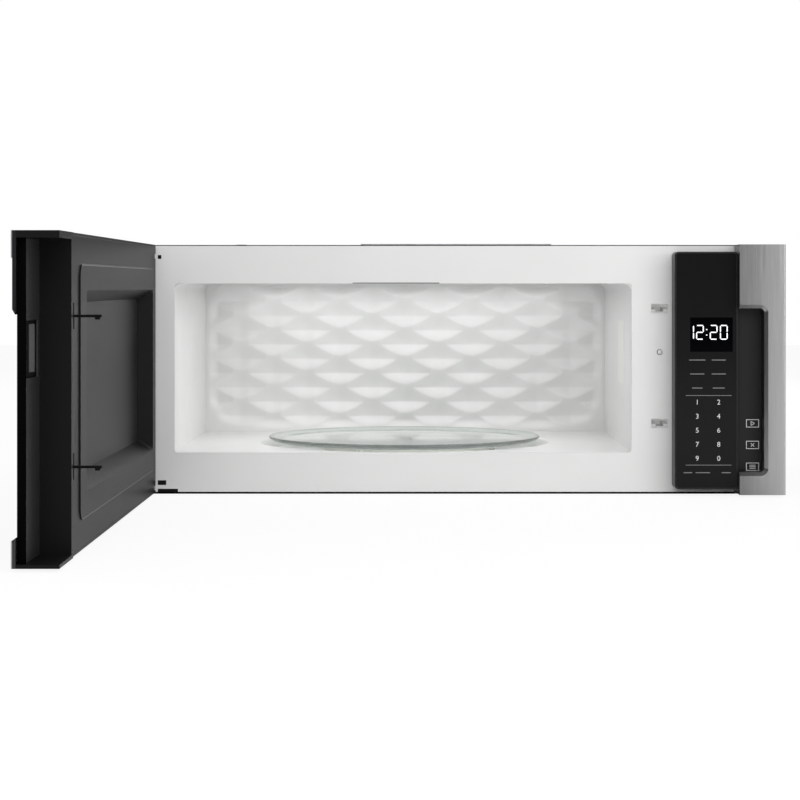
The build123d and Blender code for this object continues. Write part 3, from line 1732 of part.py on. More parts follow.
with BuildPart() as door_glass:
    with BuildSketch(door_face(glass_depth)):
        area(door_near, door_free_end, door_bottom, door_top)
    extrude(amount=door_glass_thickness)
    # the finger notch at the free end: cut through, with a bevel on its three front edges
    for depth, reach, slant in (
        (glass_depth + notch_lip, 0, notch_slant),
        (glass_depth + door_glass_thickness, notch_bevel, 0),
    ):
        with BuildSketch(door_face(depth)):
            area(
                notch_u - reach,
                door_free_end + overcut,
                notch_low + slant,
                notch_high - slant,
            )
    loft(mode=Mode.SUBTRACT)
    with BuildSketch(door_face(glass_depth)):
        area(
            notch_u,
            door_free_end + overcut,
            notch_low + notch_slant,
            notch_high - notch_slant,
        )
    extrude(amount=notch_lip, mode=Mode.SUBTRACT)
door_glass.part.label = "door_glass"
export_step(door_glass.part, "parts/door_glass.step")

web_inner = glass_depth - door_web
arm_pocket_reach = hinge_arm_half_width + arm_pocket_gap
bush_length = hinge_pin_length + bush_end_gap
bush_lows = [
    arm_levels[0] + hinge_arm_thickness + arm_clearance,
    arm_levels[1] - arm_clearance - bush_length,
]
flange_top_low = door_top - thin_flange_top
flange_bottom_high = door_bottom + thin_flange_bottom

with BuildPart() as door_frame:
    with BuildSketch(door_face(door_surround_depth)):
        area(door_near, door_thick_end, door_bottom, door_top)
    extrude(amount=glass_depth - door_surround_depth)
    hinge_edge = door_frame.edges().filter_by(Axis.Z).sort_by(Axis.Y)[-2:].sort_by(Axis.X)[-1]
    fillet(hinge_edge, door_corner_radius - door_surround_depth)
    with BuildSketch(door_face(door_surround_depth)):
        area(
            door_near + 2 * hinge_inset,
            door_thick_end - door_wall,
            door_bottom + door_wall,
            door_top - door_wall,
        )
    extrude(amount=web_inner - door_surround_depth, mode=Mode.SUBTRACT)
    with BuildSketch(door_face(web_inner)):
        area(window_near, window_far, window_low, window_high)
    extrude(amount=door_web, mode=Mode.SUBTRACT)
    # thin end: a web behind the glass, and a full-depth flange above and below the panel
    with BuildSketch(door_face(web_inner)):
        area(door_thick_end, frame_free_end, door_bottom, door_top)
        area(
            display_cut_near,
            frame_free_end + overcut,
            display_cut_low,
            display_cut_high,
            mode=Mode.SUBTRACT,
        )
    extrude(amount=door_web)
    for low, high in ((door_bottom, flange_bottom_high), (flange_top_low, door_top)):
        with BuildSketch(door_face(0)):
            area(door_thick_end, door_free_end, low, high)
        extrude(amount=glass_depth)
    # room for the hinge arms, and bores for the bushes
    for level, bore_low in zip(arm_levels, bush_lows):
        with BuildSketch(door_plan(level - arm_clearance)):
            area(door_near, arm_pocket_reach, -arm_pocket_reach, hinge_reach)
        extrude(amount=hinge_arm_thickness + 2 * arm_clearance, mode=Mode.SUBTRACT)
        with BuildSketch(door_plan(bore_low)):
            Circle(bush_radius)
        extrude(amount=bush_length, mode=Mode.SUBTRACT)
door_frame.part.label = "door_frame"
export_step(door_frame.part, "parts/door_frame.step")

with BuildPart() as hinge_bushes:
    for bush_low in bush_lows:
        with BuildSketch(door_plan(bush_low)):
            Circle(bush_radius)
            Circle(hinge_pin_radius + shaft_clearance, mode=Mode.SUBTRACT)
        extrude(amount=bush_length)
hinge_bushes.part.label = "hinge_bushes"
export_step(hinge_bushes.part, "parts/hinge_bushes.step")

cover_near = door_near + 2 * hinge_inset
cover_far = door_thick_end - door_wall
cover_low = door_bottom + door_wall
cover_high = door_top - door_wall
field_near = door_near + field_margin_hinge
field_far = door_thick_end - field_margin_free
field_low = door_bottom + field_margin_z
field_high = door_top - field_margin_z
cover_back = door_surround_depth + door_cover_wall
bar_front = cover_back + seat_gap
bar_low = latch_low - latch_bar_end
bar_high = latch_high + latch_bar_end
spring_depth = cover_back + seat_gap + spring_radius + spring_wire
spring_length = spring_pitch * spring_turns + 2 * spring_wire
spring_seat_z = bar_high + spring_length + 2 * seat_gap
spring_seat_half = spring_radius + spring_seat_lap

with BuildPart() as door_inner_cover:
    with BuildSketch(door_face(door_surround_depth)):
        area(cover_near, cover_far, cover_low, cover_high)
    extrude(amount=door_cover_wall)
    with BuildSketch(door_face(0)):
        rounded_area(field_near, field_far, field_low, field_high, field_corner_radius)
    extrude(amount=cover_back)
    for offset_out, start, mode in (
        (door_cover_wall, cover_back, Mode.ADD),
        (0, 0, Mode.SUBTRACT),
    ):
        for depth in (start, window_depth):
            inset = window_bevel * depth / window_depth - offset_out
            with BuildSketch(door_face(depth)):
                rounded_area(
                    window_near + inset,
                    window_far - inset,
                    window_low + inset,
                    window_high - inset,
                    window_corner_radius + offset_out,
                )
        loft(mode=mode)
    for slot_z in (latch_low, latch_high):
        with BuildSketch(door_face(0)):
            with Locations((latch_u, slot_z)):
                Rectangle(door_slot_width, door_slot_height)
        extrude(amount=cover_back, mode=Mode.SUBTRACT)
    # the seat that the latch spring pushes against
    with BuildSketch(door_face(cover_back)):
        area(
            latch_u - spring_seat_half,
            latch_u + spring_seat_half,
            spring_seat_z,
            spring_seat_z + spring_seat_thickness,
        )
    extrude(amount=2 * spring_seat_half)
door_inner_cover.part.label = "door_inner_cover"
export_step(door_inner_cover.part, "parts/door_inner_cover.step")

with BuildPart() as door_window:
    with BuildSketch(door_face(window_depth)):
        area(
            window_near + window_bevel - window_lap,
            window_far - window_bevel + window_lap,
            window_low + window_bevel - window_lap,
            window_high - window_bevel + window_lap,
        )
    extrude(amount=window_glass)
door_window.part.label = "door_window"
export_step(door_window.part, "parts/door_window.step")

choke_depth = window_depth + window_glass
with BuildPart() as door_choke:
    with BuildSketch(door_face(choke_depth - choke_flange)):
        area(
            cover_near + choke_clearance,
            cover_far - choke_clearance,
            cover_low + choke_clearance,
            cover_high - choke_clearance,
        )
        area(
            cover_near + choke_clearance + choke_sheet,
            cover_far - choke_clearance - choke_sheet,
            cover_low + choke_clearance + choke_sheet,
            cover_high - choke_clearance - choke_sheet,
            mode=Mode.SUBTRACT,
        )
    extrude(amount=choke_flange)
    with BuildSketch(door_face(choke_depth)):
        area(cover_near, cover_far, cover_low, cover_high)
    extrude(amount=choke_sheet)
door_choke.part.label = "door_choke"
export_step(door_choke.part, "parts/door_choke.step")

with BuildPart() as door_end_cover:
    with BuildSketch(door_face(thin_depth)):
        area(door_thick_end, frame_free_end, flange_bottom_high, flange_top_low)
    extrude(amount=web_inner - thin_depth)
    with BuildSketch(door_face(thin_depth + door_cover_wall)):
        area(
            door_thick_end + door_wall,
            frame_free_end - door_wall,
            flange_bottom_high + door_wall,
            flange_top_low - door_wall,
        )
    extrude(amount=web_inner - thin_depth - door_cover_wall, mode=Mode.SUBTRACT)
    with BuildSketch(door_face(thin_depth)):
        area(
            display_cut_near,
            frame_free_end + overcut,
            display_cut_low,
            display_cut_high,
        )
    extrude(amount=web_inner - thin_depth, mode=Mode.SUBTRACT)
door_end_cover.part.label = "door_end_cover"
export_step(door_end_cover.part, "parts/door_end_cover.step")

hook_front = hinge_reach - door_gap + hook_reach

with BuildPart() as latch_bar:
    with BuildSketch(door_face(bar_front)):
        with Locations((latch_u, (bar_low + bar_high) / 2)):
            RectangleRounded(latch_bar_width, bar_high - bar_low, soft_corner)
    extrude(amount=latch_bar_thickness)
    for slot_z in (latch_low, latch_high):
        with BuildSketch(door_plan(slot_z - hook_height / 2)):
            area(
                latch_u - hook_thickness / 2,
                latch_u + hook_thickness / 2,
                hinge_reach - door_gap - bar_front - hook_root,
                hook_front,
            )
        extrude(amount=hook_height)
        with BuildSketch(door_plan(slot_z - hook_height / 2 - hook_barb)):
            area(
                latch_u - hook_thickness / 2,
                latch_u + hook_thickness / 2,
                hook_front - barb_start,
                hook_front - barb_end,
            )
        extrude(amount=hook_barb)
latch_bar.part.label = "latch_bar"
export_step(latch_bar.part, "parts/latch_bar.step")

spring_plane = Plane(
    origin=(door_inner_x - spring_depth, hinge_y - latch_u, bar_high + spring_wire + seat_gap),
    z_dir=(0, 0, 1),
)
with BuildPart() as latch_spring:
    with BuildLine(spring_plane):
        coil = Helix(spring_pitch, spring_pitch * spring_turns, spring_radius)
    with BuildSketch(Plane(origin=coil @ 0, z_dir=coil % 0)):
        Circle(spring_wire)
    sweep()
latch_spring.part.label = "latch_spring"
export_step(latch_spring.part, "parts/latch_spring.step")

# ---- Case screws ---------------------------------------------------------------------

with BuildPart() as case_screws:
    with BuildSketch(Plane.XY.offset(cabinet_height)):
        with Locations(*screw_points):
            Circle(screw_head_radius)
    extrude(amount=screw_head_height)
    chamfer(case_screws.faces().group_by(Axis.Z)[-1].edges(), screw_chamfer)
    with BuildSketch(Plane.XY.offset(cabinet_height)):
        with Locations(*screw_points):
            Circle(screw_shank_radius)
    extrude(amount=-screw_length)
case_screws.part.label = "case_screws"
export_step(case_screws.part, "parts/case_screws.step")
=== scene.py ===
import itertools
import json
import math

import bmesh
import bpy
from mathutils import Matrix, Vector

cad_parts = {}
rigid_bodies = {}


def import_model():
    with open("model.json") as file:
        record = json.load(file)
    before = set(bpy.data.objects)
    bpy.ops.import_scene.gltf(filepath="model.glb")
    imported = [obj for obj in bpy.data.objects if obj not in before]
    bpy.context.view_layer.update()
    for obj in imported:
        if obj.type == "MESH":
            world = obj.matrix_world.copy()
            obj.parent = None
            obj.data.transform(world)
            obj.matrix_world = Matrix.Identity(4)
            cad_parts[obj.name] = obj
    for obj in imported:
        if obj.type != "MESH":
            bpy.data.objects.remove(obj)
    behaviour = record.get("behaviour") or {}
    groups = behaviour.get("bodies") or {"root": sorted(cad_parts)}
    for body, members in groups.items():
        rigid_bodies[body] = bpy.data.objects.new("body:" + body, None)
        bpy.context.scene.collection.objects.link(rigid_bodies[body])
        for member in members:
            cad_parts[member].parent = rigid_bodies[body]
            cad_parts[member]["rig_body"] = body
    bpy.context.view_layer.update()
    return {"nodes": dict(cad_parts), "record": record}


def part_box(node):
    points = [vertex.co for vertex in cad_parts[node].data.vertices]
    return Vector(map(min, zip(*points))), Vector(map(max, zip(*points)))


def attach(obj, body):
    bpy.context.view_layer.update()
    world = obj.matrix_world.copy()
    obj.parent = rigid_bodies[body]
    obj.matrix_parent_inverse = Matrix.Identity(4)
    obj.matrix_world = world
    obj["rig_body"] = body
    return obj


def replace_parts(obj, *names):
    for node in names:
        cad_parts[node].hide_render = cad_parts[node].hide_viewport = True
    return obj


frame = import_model()

mm = 0.001

# ---- Sizes that the looks add to the frame -----------------------------------------------

# The photograph's view, in its own 800 unit square
photo_size = 800
photo_focal = 2180.0
photo_centre_u = 420.0
photo_centre_v = 285.0
camera_place = (-48 * mm, -3009 * mm, 248 * mm)
sensor_width = 36.0

# World and floor
world_light = 0.62
world_mirrored = 0.20
floor_white = 0.9
floor_reach = 6.0
floor_drop = 0.5 * mm

# Lamps of the room: place and target in metres, width, height and power in watts
room_lamps = {
    "key_lamp": ((0.2, -2.8, 1.8), (0, -0.3, 0.15), 2.4, 1.6, 36),
    "fill_lamp": ((1.8, -2.0, 0.9), (0, -0.3, 0.15), 1.2, 1.4, 14),
    "back_lamp": ((0.6, 2.2, 1.6), (0, -0.2, 0.15), 2.0, 1.4, 25),
}

# Lamps in the cavity
ceiling_lamp_width = 440 * mm
ceiling_lamp_depth = 300 * mm
ceiling_lamp_back = 25 * mm
ceiling_lamp_drop = 4 * mm
ceiling_lamp_power = 0.50
mouth_lamp_power = 0.16
mouth_share = 0.9

# Pressed diamonds on the back wall
diamond_pitch_x = 89.8 * mm
diamond_pitch_z = 39.0 * mm
diamond_share = 0.78
dish_power = 1.5
lip_height = 15.0 * mm
lip_power = 1.2
slope_height = 33.0 * mm
diamond_depth = 6.4 * mm
relief_top_inset = 5.3 * mm
relief_margin = 3.0 * mm
relief_corner = 45.0 * mm
relief_fade = 14.0 * mm
relief_top_fade = 3.5 * mm
relief_step = 1.2 * mm
wall_sheet = 0.8 * mm

# Cavity corners
cavity_corner = 10.0 * mm
corner_steps = 8
flange_front = 1.05 * mm
flange_back = 1.8 * mm

# Glass tray
tray_radius = 172.5 * mm
tray_low = 49.2 * mm
tray_high = 56.8 * mm
tray_thickness = 4.2 * mm
tray_rim = 11.0 * mm
tray_segments = 192
tray_tints = (
    (0.0, 1.0),
    (0.50, 1.0),
    (0.56, 0.80),
    (0.62, 1.0),
    (0.86, 0.97),
    (0.90, 0.62),
    (0.93, 1.0),
    (0.975, 0.95),
    (1.0, 0.55),
)

# Key panel
digit_columns = (26.5 * mm, 51.7 * mm)
digit_top_row = 110.1 * mm
digit_row_step = 16.5 * mm
digit_size = 8.2 * mm
print_thickness = 0.05 * mm
label_rows = (159.9 * mm, 143.5 * mm, 127.0 * mm)
label_widths = ((19 * mm, 16.5 * mm), (16.5 * mm, 16.5 * mm), (12 * mm, 14 * mm))
label_height = 0.9 * mm
foot_row = 27.6 * mm
foot_marks = ((15.5 * mm, 10 * mm), (33.0 * mm, 17 * mm), (60.5 * mm, 10.5 * mm))
rule_rows = (118.2 * mm, 36.5 * mm)
rule_left = 13.0 * mm
rule_right = 66.7 * mm
rule_height = 0.6 * mm

# Clock display
clock_text = "12:20"
clock_lefts = (-4.6 * mm, 6.9 * mm, 18.8 * mm, 23.0 * mm, 34.9 * mm)
clock_digit_width = 9.1 * mm
clock_low = 183.8 * mm
clock_high = 201.1 * mm
clock_stroke = 1.25 * mm
clock_gap = 0.35 * mm
clock_window = 50.0 * mm
clock_dot_rise = 3.2 * mm

# Keys in the finger pocket
key_left = 336.7 * mm
key_width = 15.2 * mm
key_height = 9.5 * mm
key_lows = (80.0 * mm, 54.6 * mm, 28.9 * mm)
key_line = 0.75 * mm
key_bar_step = 1.8 * mm
key_bar_inset = 4.0 * mm
triangle_back = 1.8 * mm
triangle_tip = 2.4 * mm
cross_reach = 1.9 * mm
pocket_sheet = 1.6 * mm

# Latch wells
latch_heights = (83.5 * mm, 220.0 * mm)
well_half_width = 10.6 * mm
well_top = 10.2 * mm
well_bottom = 3.5 * mm
well_sheet = 0.5 * mm
well_gap = 1.6 * mm

# Display mask in the door's end cover
mask_depth = 2.7 * mm
mask_sheet = 0.6 * mm
mask_length = 56.2 * mm
mask_low = 166.6 * mm
mask_high = 216.8 * mm
film_length = 28.0 * mm
film_low = 170.9 * mm
film_high = 213.3 * mm
web_sheet = 2.0 * mm
seal_sheet = 0.4 * mm

# The raised field on the door's inner side
field_margin_near = 14.0 * mm
field_margin_far = 41.5 * mm
field_margin_z = 25.5 * mm
field_corner = 14.0 * mm
field_edge = 0.9 * mm
field_line = 0.55 * mm

# Thin trim on the front
bottom_edge_height = 2.3 * mm
top_edge_height = 0.9 * mm
slot_left = -128 * mm
slot_right = -25 * mm
slot_height = 0.9 * mm
# Black marks at the hinge beside the door: the upper one on its bracket, the lower ones painted
# shade in its slots
hinge_mark_left = -359.5 * mm
hinge_dark_marks = (
    (10.0 * mm, 10.4 * mm, 5.6 * mm),
    (24.0 * mm, 2.3 * mm, 3.6 * mm),
    (4.2 * mm, 279.0 * mm, 4.6 * mm),
)
plug_x = 236.9 * mm
plug_z = 168.3 * mm
plug_radius = 2.9 * mm
plug_depth = 0.6 * mm
plug_thickness = 0.8 * mm
plug_steps = 32

# Grease filter mesh
filter_pitch = 5.0 * mm
filter_strip = 0.9 * mm
filter_strip_sheet = 0.6 * mm
filter_inset = 8.0 * mm
filter_layers = ((1, 1.6 * mm), (-1, 2.4 * mm))

# Softened edges
weld_distance = 0.001 * mm
flat_angle = 0.5

nodes = frame["nodes"]


# ---- Material helpers --------------------------------------------------------------------


class Finish:
    """A node material with one Principled shader, and short ways to add detail to it."""

    def __init__(self, name, colour, roughness, metallic=0.0, **sockets):
        self.material = bpy.data.materials.new(name)
        self.material.use_nodes = True
        self.tree = self.material.node_tree
        self.shader = self.tree.nodes["Principled BSDF"]
        self.colour = colour
        self.roughness = roughness
        self.shader.inputs["Base Color"].default_value = (*colour, 1)
        self.shader.inputs["Roughness"].default_value = roughness
        self.shader.inputs["Metallic"].default_value = metallic
        for socket, value in sockets.items():
            self.shader.inputs[socket.replace("_", " ")].default_value = value

    def node(self, kind, **values):
        """A new node, with its properties or inputs set by name."""
        node = self.tree.nodes.new(kind)
        for key, value in values.items():
            if hasattr(node, key):
                setattr(node, key, value)
            else:
                node.inputs[key.replace("_", " ")].default_value = value
        return node

    def link(self, source, target):
        self.tree.links.new(source, target)

    def place(self, stretch=(1, 1, 1)):
        """Object coordinates in metres, stretched along each axis."""
        coordinates = self.node("ShaderNodeTexCoord")
        mapping = self.node("ShaderNodeMapping", Scale=stretch)
        self.link(coordinates.outputs["Object"], mapping.inputs["Vector"])
        return mapping.outputs["Vector"]

    def noise(self, scale, detail=3.0, stretch=(1, 1, 1)):
        noise = self.node("ShaderNodeTexNoise", Scale=scale, Detail=detail)
        self.link(self.place(stretch), noise.inputs["Vector"])
        return noise.outputs["Fac"]

    def ranged(self, value, low, high, from_low=0.3, from_high=0.7):
        """A value from 0.3 to 0.7, as noise gives, spread from low to high."""
        ranged = self.node("ShaderNodeMapRange")
        self.link(value, ranged.inputs["Value"])
        ranged.inputs["From Min"].default_value = from_low
        ranged.inputs["From Max"].default_value = from_high
        ranged.inputs["To Min"].default_value = low
        ranged.inputs["To Max"].default_value = high
        return ranged.outputs["Result"]

    def vary_roughness(self, value, spread):
        low, high = self.roughness - spread, self.roughness + spread
        self.link(self.ranged(value, low, high), self.shader.inputs["Roughness"])

    def blend(self, factor, first, second):
        """A colour that goes from the first to the second with the factor."""
        mix = self.node("ShaderNodeMix", data_type="RGBA")
        ends = [socket for socket in mix.inputs if socket.type == "RGBA"]
        for socket, colour in zip(ends, (first, second)):
            socket.default_value = (*colour, 1)
        self.link(factor, mix.inputs["Factor"])
        return next(socket for socket in mix.outputs if socket.type == "RGBA")

    def vary_colour(self, value, other, from_low=0.3, from_high=0.7):
        """The base colour goes over to another one with the value."""
        factor = self.ranged(value, 0, 1, from_low, from_high)
        self.link(self.blend(factor, self.colour, other), self.shader.inputs["Base Color"])

    def bump(self, value, strength, distance):
        bump = self.node("ShaderNodeBump", Strength=strength, Distance=distance)
        self.link(value, bump.inputs["Height"])
        self.link(bump.outputs["Normal"], self.shader.inputs["Normal"])


def shade(colour, factor):
    return tuple(min(channel * factor, 1.0) for channel in colour)


def enamel(name, colour, roughness=0.33):
    """Smooth baked enamel with a faint orange peel."""
    finish = Finish(name, colour, roughness, Coat_Weight=0.15, Coat_Roughness=0.12)
    finish.vary_colour(finish.noise(7, 2), shade(colour, 0.965))
    finish.vary_roughness(finish.noise(45), 0.04)
    finish.bump(finish.noise(520, 2), 0.10, 0.05 * mm)
    return finish.material


def paint(name, colour, roughness=0.45):
    """Powder paint with a fine texture."""
    finish = Finish(name, colour, roughness)
    finish.vary_colour(finish.noise(60, 4), shade(colour, 1.35))
    finish.vary_roughness(finish.noise(25), 0.06)
    finish.bump(finish.noise(1700, 3), 0.25, 0.05 * mm)
    return finish.material


def moulding(name, colour, roughness=0.42, gloss=0.3):
    """Moulded plastic with a fine spark-eroded grain."""
    finish = Finish(name, colour, roughness, Specular_IOR_Level=gloss)
    finish.vary_colour(finish.noise(900, 2), shade(colour, 1.12))
    finish.vary_roughness(finish.noise(1500, 1), 0.03)
    finish.bump(finish.noise(2600, 2), 0.12, 0.03 * mm)
    return finish.material


def brushed(name, colour, roughness, along):
    """Brushed metal: fine scratches that run along one axis."""
    stretch = [1.0, 1.0, 1.0]
    stretch["XYZ".index(along)] = 0.012
    finish = Finish(name, colour, roughness, metallic=1.0)
    scratches = finish.noise(1400, 3, stretch)
    finish.vary_colour(scratches, shade(colour, 0.93))
    finish.vary_roughness(finish.noise(900, 2, stretch), 0.04)
    finish.bump(scratches, 0.08, 0.01 * mm)
    return finish.material


def column_steel_shaded(name, colour, roughness):
    """Steel brushed upwards, with painted shade: darker towards the column's inner edge and
    lighter towards its outer edge.
    """
    low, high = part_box("trim_column")
    finish = Finish(name, colour, roughness, metallic=1.0)
    across = finish.node("ShaderNodeSeparateXYZ")
    finish.link(finish.place(), across.inputs["Vector"])
    painted_shade = finish.ranged(across.outputs["X"], 0, 1, low.x, high.x)
    scratches = finish.noise(1300, 3, (1, 1, 0.012))
    spread = finish.ranged(scratches, -0.12, 0.12)
    total = finish.node("ShaderNodeMath", operation="ADD", use_clamp=True)
    finish.link(painted_shade, total.inputs[0])
    finish.link(spread, total.inputs[1])
    finish.link(
        finish.blend(total.outputs[0], shade(colour, 0.50), shade(colour, 1.00)),
        finish.shader.inputs["Base Color"],
    )
    finish.vary_roughness(finish.noise(800, 2, (1, 1, 0.012)), 0.04)
    finish.bump(scratches, 0.08, 0.01 * mm)
    return finish.material


def plated(name, colour, roughness, spangle):
    """Zinc coated sheet, with crystals of a few millimetres."""
    finish = Finish(name, colour, roughness, metallic=1.0)
    cells = finish.node("ShaderNodeTexVoronoi", Scale=spangle)
    finish.link(finish.place(), cells.inputs["Vector"])
    separate = finish.node("ShaderNodeSeparateColor")
    finish.link(cells.outputs["Color"], separate.inputs["Color"])
    finish.vary_colour(separate.outputs["Red"], shade(colour, 0.82), 0.0, 1.0)
    finish.vary_roughness(separate.outputs["Green"], 0.06)
    finish.bump(finish.noise(300), 0.05, 0.05 * mm)
    return finish.material


def black_glass(name, colour, roughness=0.04, gloss=0.5):
    """Glass printed black on its back."""
    finish = Finish(name, colour, roughness, Specular_IOR_Level=gloss)
    finish.vary_roughness(finish.noise(30, 2), 0.012)
    finish.bump(finish.noise(18, 1), 0.02, 0.2 * mm)
    return finish.material


def clear_glass(name, colour, roughness=0.02):
    """Pressed glass: greener and darker where it is seen through its rim and its foot ring."""
    low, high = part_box("glass_tray")
    centre = (low + high) / 2
    finish = Finish(name, colour, roughness, Transmission_Weight=0.86, IOR=1.32)
    flat = finish.node("ShaderNodeMapping")
    flat.inputs["Location"].default_value = (-centre.x, -centre.y, 0)
    flat.inputs["Scale"].default_value = (1, 1, 0)
    finish.link(finish.place(), flat.inputs["Vector"])
    radius = finish.node("ShaderNodeVectorMath", operation="LENGTH")
    finish.link(flat.outputs["Vector"], radius.inputs[0])
    tints = finish.node("ShaderNodeValToRGB")
    ramp = tints.color_ramp
    while len(ramp.elements) < len(tray_tints):
        ramp.elements.new(1.0)
    for element, (share, tint) in zip(ramp.elements, tray_tints):
        element.position = share
        element.color = (*[channel * tint for channel in colour], 1)
    share = finish.ranged(radius.outputs["Value"], 0, 1, 0, tray_radius)
    finish.link(share, tints.inputs["Fac"])
    finish.link(tints.outputs["Color"], finish.shader.inputs["Base Color"])
    finish.vary_roughness(finish.noise(60, 2), 0.01)
    finish.bump(finish.noise(40, 1), 0.03, 0.2 * mm)
    return finish.material


def screen_window(name, colour):
    """A clear sheet over a screen with rows of round holes, with a faint painted reflection: soft
    noise that makes the holes lighter in some places than in others.
    """
    finish = Finish(name, colour, 0.30, Specular_IOR_Level=0.02)
    pitch = 1 / (2.1 * mm)
    place = finish.node("ShaderNodeTexVoronoi", Scale=pitch, Randomness=0.0)
    finish.link(finish.place((1, 1, 1.15)), place.inputs["Vector"])
    hole = finish.ranged(place.outputs["Distance"], 0, 1, 0.30, 0.40)
    # Painted reflection: soft noise that dims the holes in places
    painted_reflection = finish.ranged(finish.noise(7, 1, (1, 0.6, 2.2)), 0.55, 1, 0.2, 0.8)
    total = finish.node("ShaderNodeMath", operation="MULTIPLY")
    finish.link(hole, total.inputs[0])
    finish.link(painted_reflection, total.inputs[1])
    mixed = finish.blend(total.outputs[0], shade(colour, 0.4), shade(colour, 3.2))
    finish.link(mixed, finish.shader.inputs["Base Color"])
    finish.bump(hole, 0.3, 0.1 * mm)
    return finish.material


def circuit(name, colour):
    """Green laminate with lighter tracks."""
    finish = Finish(name, colour, 0.4)
    tracks = finish.node("ShaderNodeTexBrick", Scale=160.0)
    finish.link(finish.place(), tracks.inputs["Vector"])
    finish.vary_colour(tracks.outputs["Fac"], shade(colour, 1.8), 0.0, 1.0)
    finish.bump(tracks.outputs["Fac"], 0.3, 0.05 * mm)
    return finish.material


def winding(name, colour):
    """Enamelled wire laid in close turns."""
    finish = Finish(name, colour, 0.3, metallic=0.9)
    turns = finish.node("ShaderNodeTexWave", Scale=260.0, Distortion=0.3)
    turns.bands_direction = "Z"
    finish.link(finish.place(), turns.inputs["Vector"])
    finish.vary_colour(turns.outputs["Fac"], shade(colour, 0.55), 0.0, 1.0)
    finish.bump(turns.outputs["Fac"], 0.6, 0.3 * mm)
    return finish.material


def rubber(name, colour):
    finish = Finish(name, colour, 0.7)
    finish.vary_colour(finish.noise(120, 3), shade(colour, 1.4))
    finish.bump(finish.noise(900, 3), 0.3, 0.05 * mm)
    return finish.material


def lit(name, colour, strength):
    """A light mark, such as a lit segment or a print in white. With some strength it can also be a
    faint glow that is painted light, as in the latch wells.
    """
    finish = Finish(name, colour, 0.4, Emission_Strength=strength)
    finish.shader.inputs["Emission Color"].default_value = (*colour, 1)
    finish.vary_roughness(finish.noise(400), 0.05)
    return finish.material


steel_colour = (0.50, 0.50, 0.50)
finishes = {
    "case_paint": paint("case_paint", (0.030, 0.030, 0.032)),
    "frame_enamel": enamel("frame_enamel", (0.70, 0.70, 0.695)),
    "cavity_enamel": enamel("cavity_enamel", (0.74, 0.74, 0.735)),
    "stainless": brushed("stainless", steel_colour, 0.34, "Z"),
    "door_glass": black_glass("door_glass", (0.010, 0.010, 0.011)),
    "door_black": moulding("door_black", (0.0068, 0.0068, 0.0071), 0.36, 0.072),
    "window_glass": screen_window("window_glass", (0.0080, 0.0080, 0.0084)),
    "tray_glass": clear_glass("tray_glass", (0.92, 0.965, 0.94)),
    "panel_black": moulding("panel_black", (0.010, 0.010, 0.0105), 0.36),
    "panel_glass": black_glass("panel_glass", (0.0060, 0.0060, 0.0063), 0.16, 0.14),
    "display": black_glass("display", (0.0005, 0.0006, 0.0009), 0.06, 0.06),
    "pocket_black": moulding("pocket_black", (0.006, 0.006, 0.0063), 0.40),
    "galvanised": plated("galvanised", (0.55, 0.56, 0.57), 0.42, 140.0),
    "steel_bright": brushed("steel_bright", (0.62, 0.62, 0.63), 0.2, "Y"),
    "hinge_steel": plated("hinge_steel", (0.50, 0.50, 0.51), 0.38, 400.0),
    "bush_plastic": moulding("bush_plastic", (0.72, 0.71, 0.67)),
    "drive_plastic": moulding("drive_plastic", (0.78, 0.77, 0.72)),
    "latch_plastic": moulding("latch_plastic", (0.0015, 0.0015, 0.0015), 0.5, 0.1),
    "bracket_plastic": moulding("bracket_plastic", (0.62, 0.62, 0.61)),
    "switch_plastic": moulding("switch_plastic", (0.45, 0.05, 0.04)),
    "filter_mesh": brushed("filter_mesh", (0.60, 0.61, 0.62), 0.35, "X"),
    "lens": moulding("lens", (0.75, 0.76, 0.74), 0.3),
    "lamp_body": moulding("lamp_body", (0.78, 0.77, 0.73)),
    "mica": moulding("mica", (0.70, 0.70, 0.68), 0.5),
    "core_steel": plated("core_steel", (0.20, 0.20, 0.21), 0.5, 900.0),
    "copper": winding("copper", (0.60, 0.26, 0.12)),
    "fins": brushed("fins", (0.65, 0.66, 0.67), 0.3, "Y"),
    "board": circuit("board", (0.03, 0.16, 0.06)),
    "can": brushed("can", (0.60, 0.61, 0.62), 0.3, "Z"),
    "diode_black": moulding("diode_black", (0.02, 0.02, 0.02)),
    "motor_steel": plated("motor_steel", (0.55, 0.56, 0.57), 0.4, 250.0),
    "fan_plastic": moulding("fan_plastic", (0.05, 0.05, 0.055)),
    "rubber": rubber("rubber", (0.02, 0.02, 0.02)),
}
# The trim column's steel, with painted shade across its width
column_shaded_finish = column_steel_shaded("column_steel_shaded", steel_colour, 0.34)
# A darker copy of the cavity enamel: painted shade in the cavity's upper corners
corner_shade_enamel = enamel("corner_shade_enamel", (0.56, 0.56, 0.555))
print_white = lit("print_white", (0.62, 0.62, 0.62), 0.0)
print_grey = lit("print_grey", (0.20, 0.20, 0.20), 0.0)
segment_white = lit("segment_white", (0.85, 0.87, 0.88), 0.55)
# Grey for the display's lighter film, and for the painted highlight along the door's field
edge_grey = moulding("edge_grey", (0.10, 0.10, 0.101), 0.35)
cover_black = moulding("cover_black", (0.017, 0.017, 0.0175), 0.40, 0.3)
seal_and_shade_black = moulding("seal_and_shade_black", (0.0009, 0.0009, 0.0009), 0.6, 0.02)
# Pale plastic for the latch wells, with a faint glow that is painted light
well_glow_plastic = lit("well_glow_plastic", (0.80, 0.80, 0.79), 0.16)

node_slots = {p["node"]: p["material_slot"] for p in frame["record"]["subparts"]}
for name, slot in node_slots.items():
    mesh = nodes[name].data
    mesh.materials.clear()
    mesh.materials.append(finishes[slot])
nodes["trim_column"].data.materials[0] = column_shaded_finish


# ---- Mesh helpers ------------------------------------------------------------------------


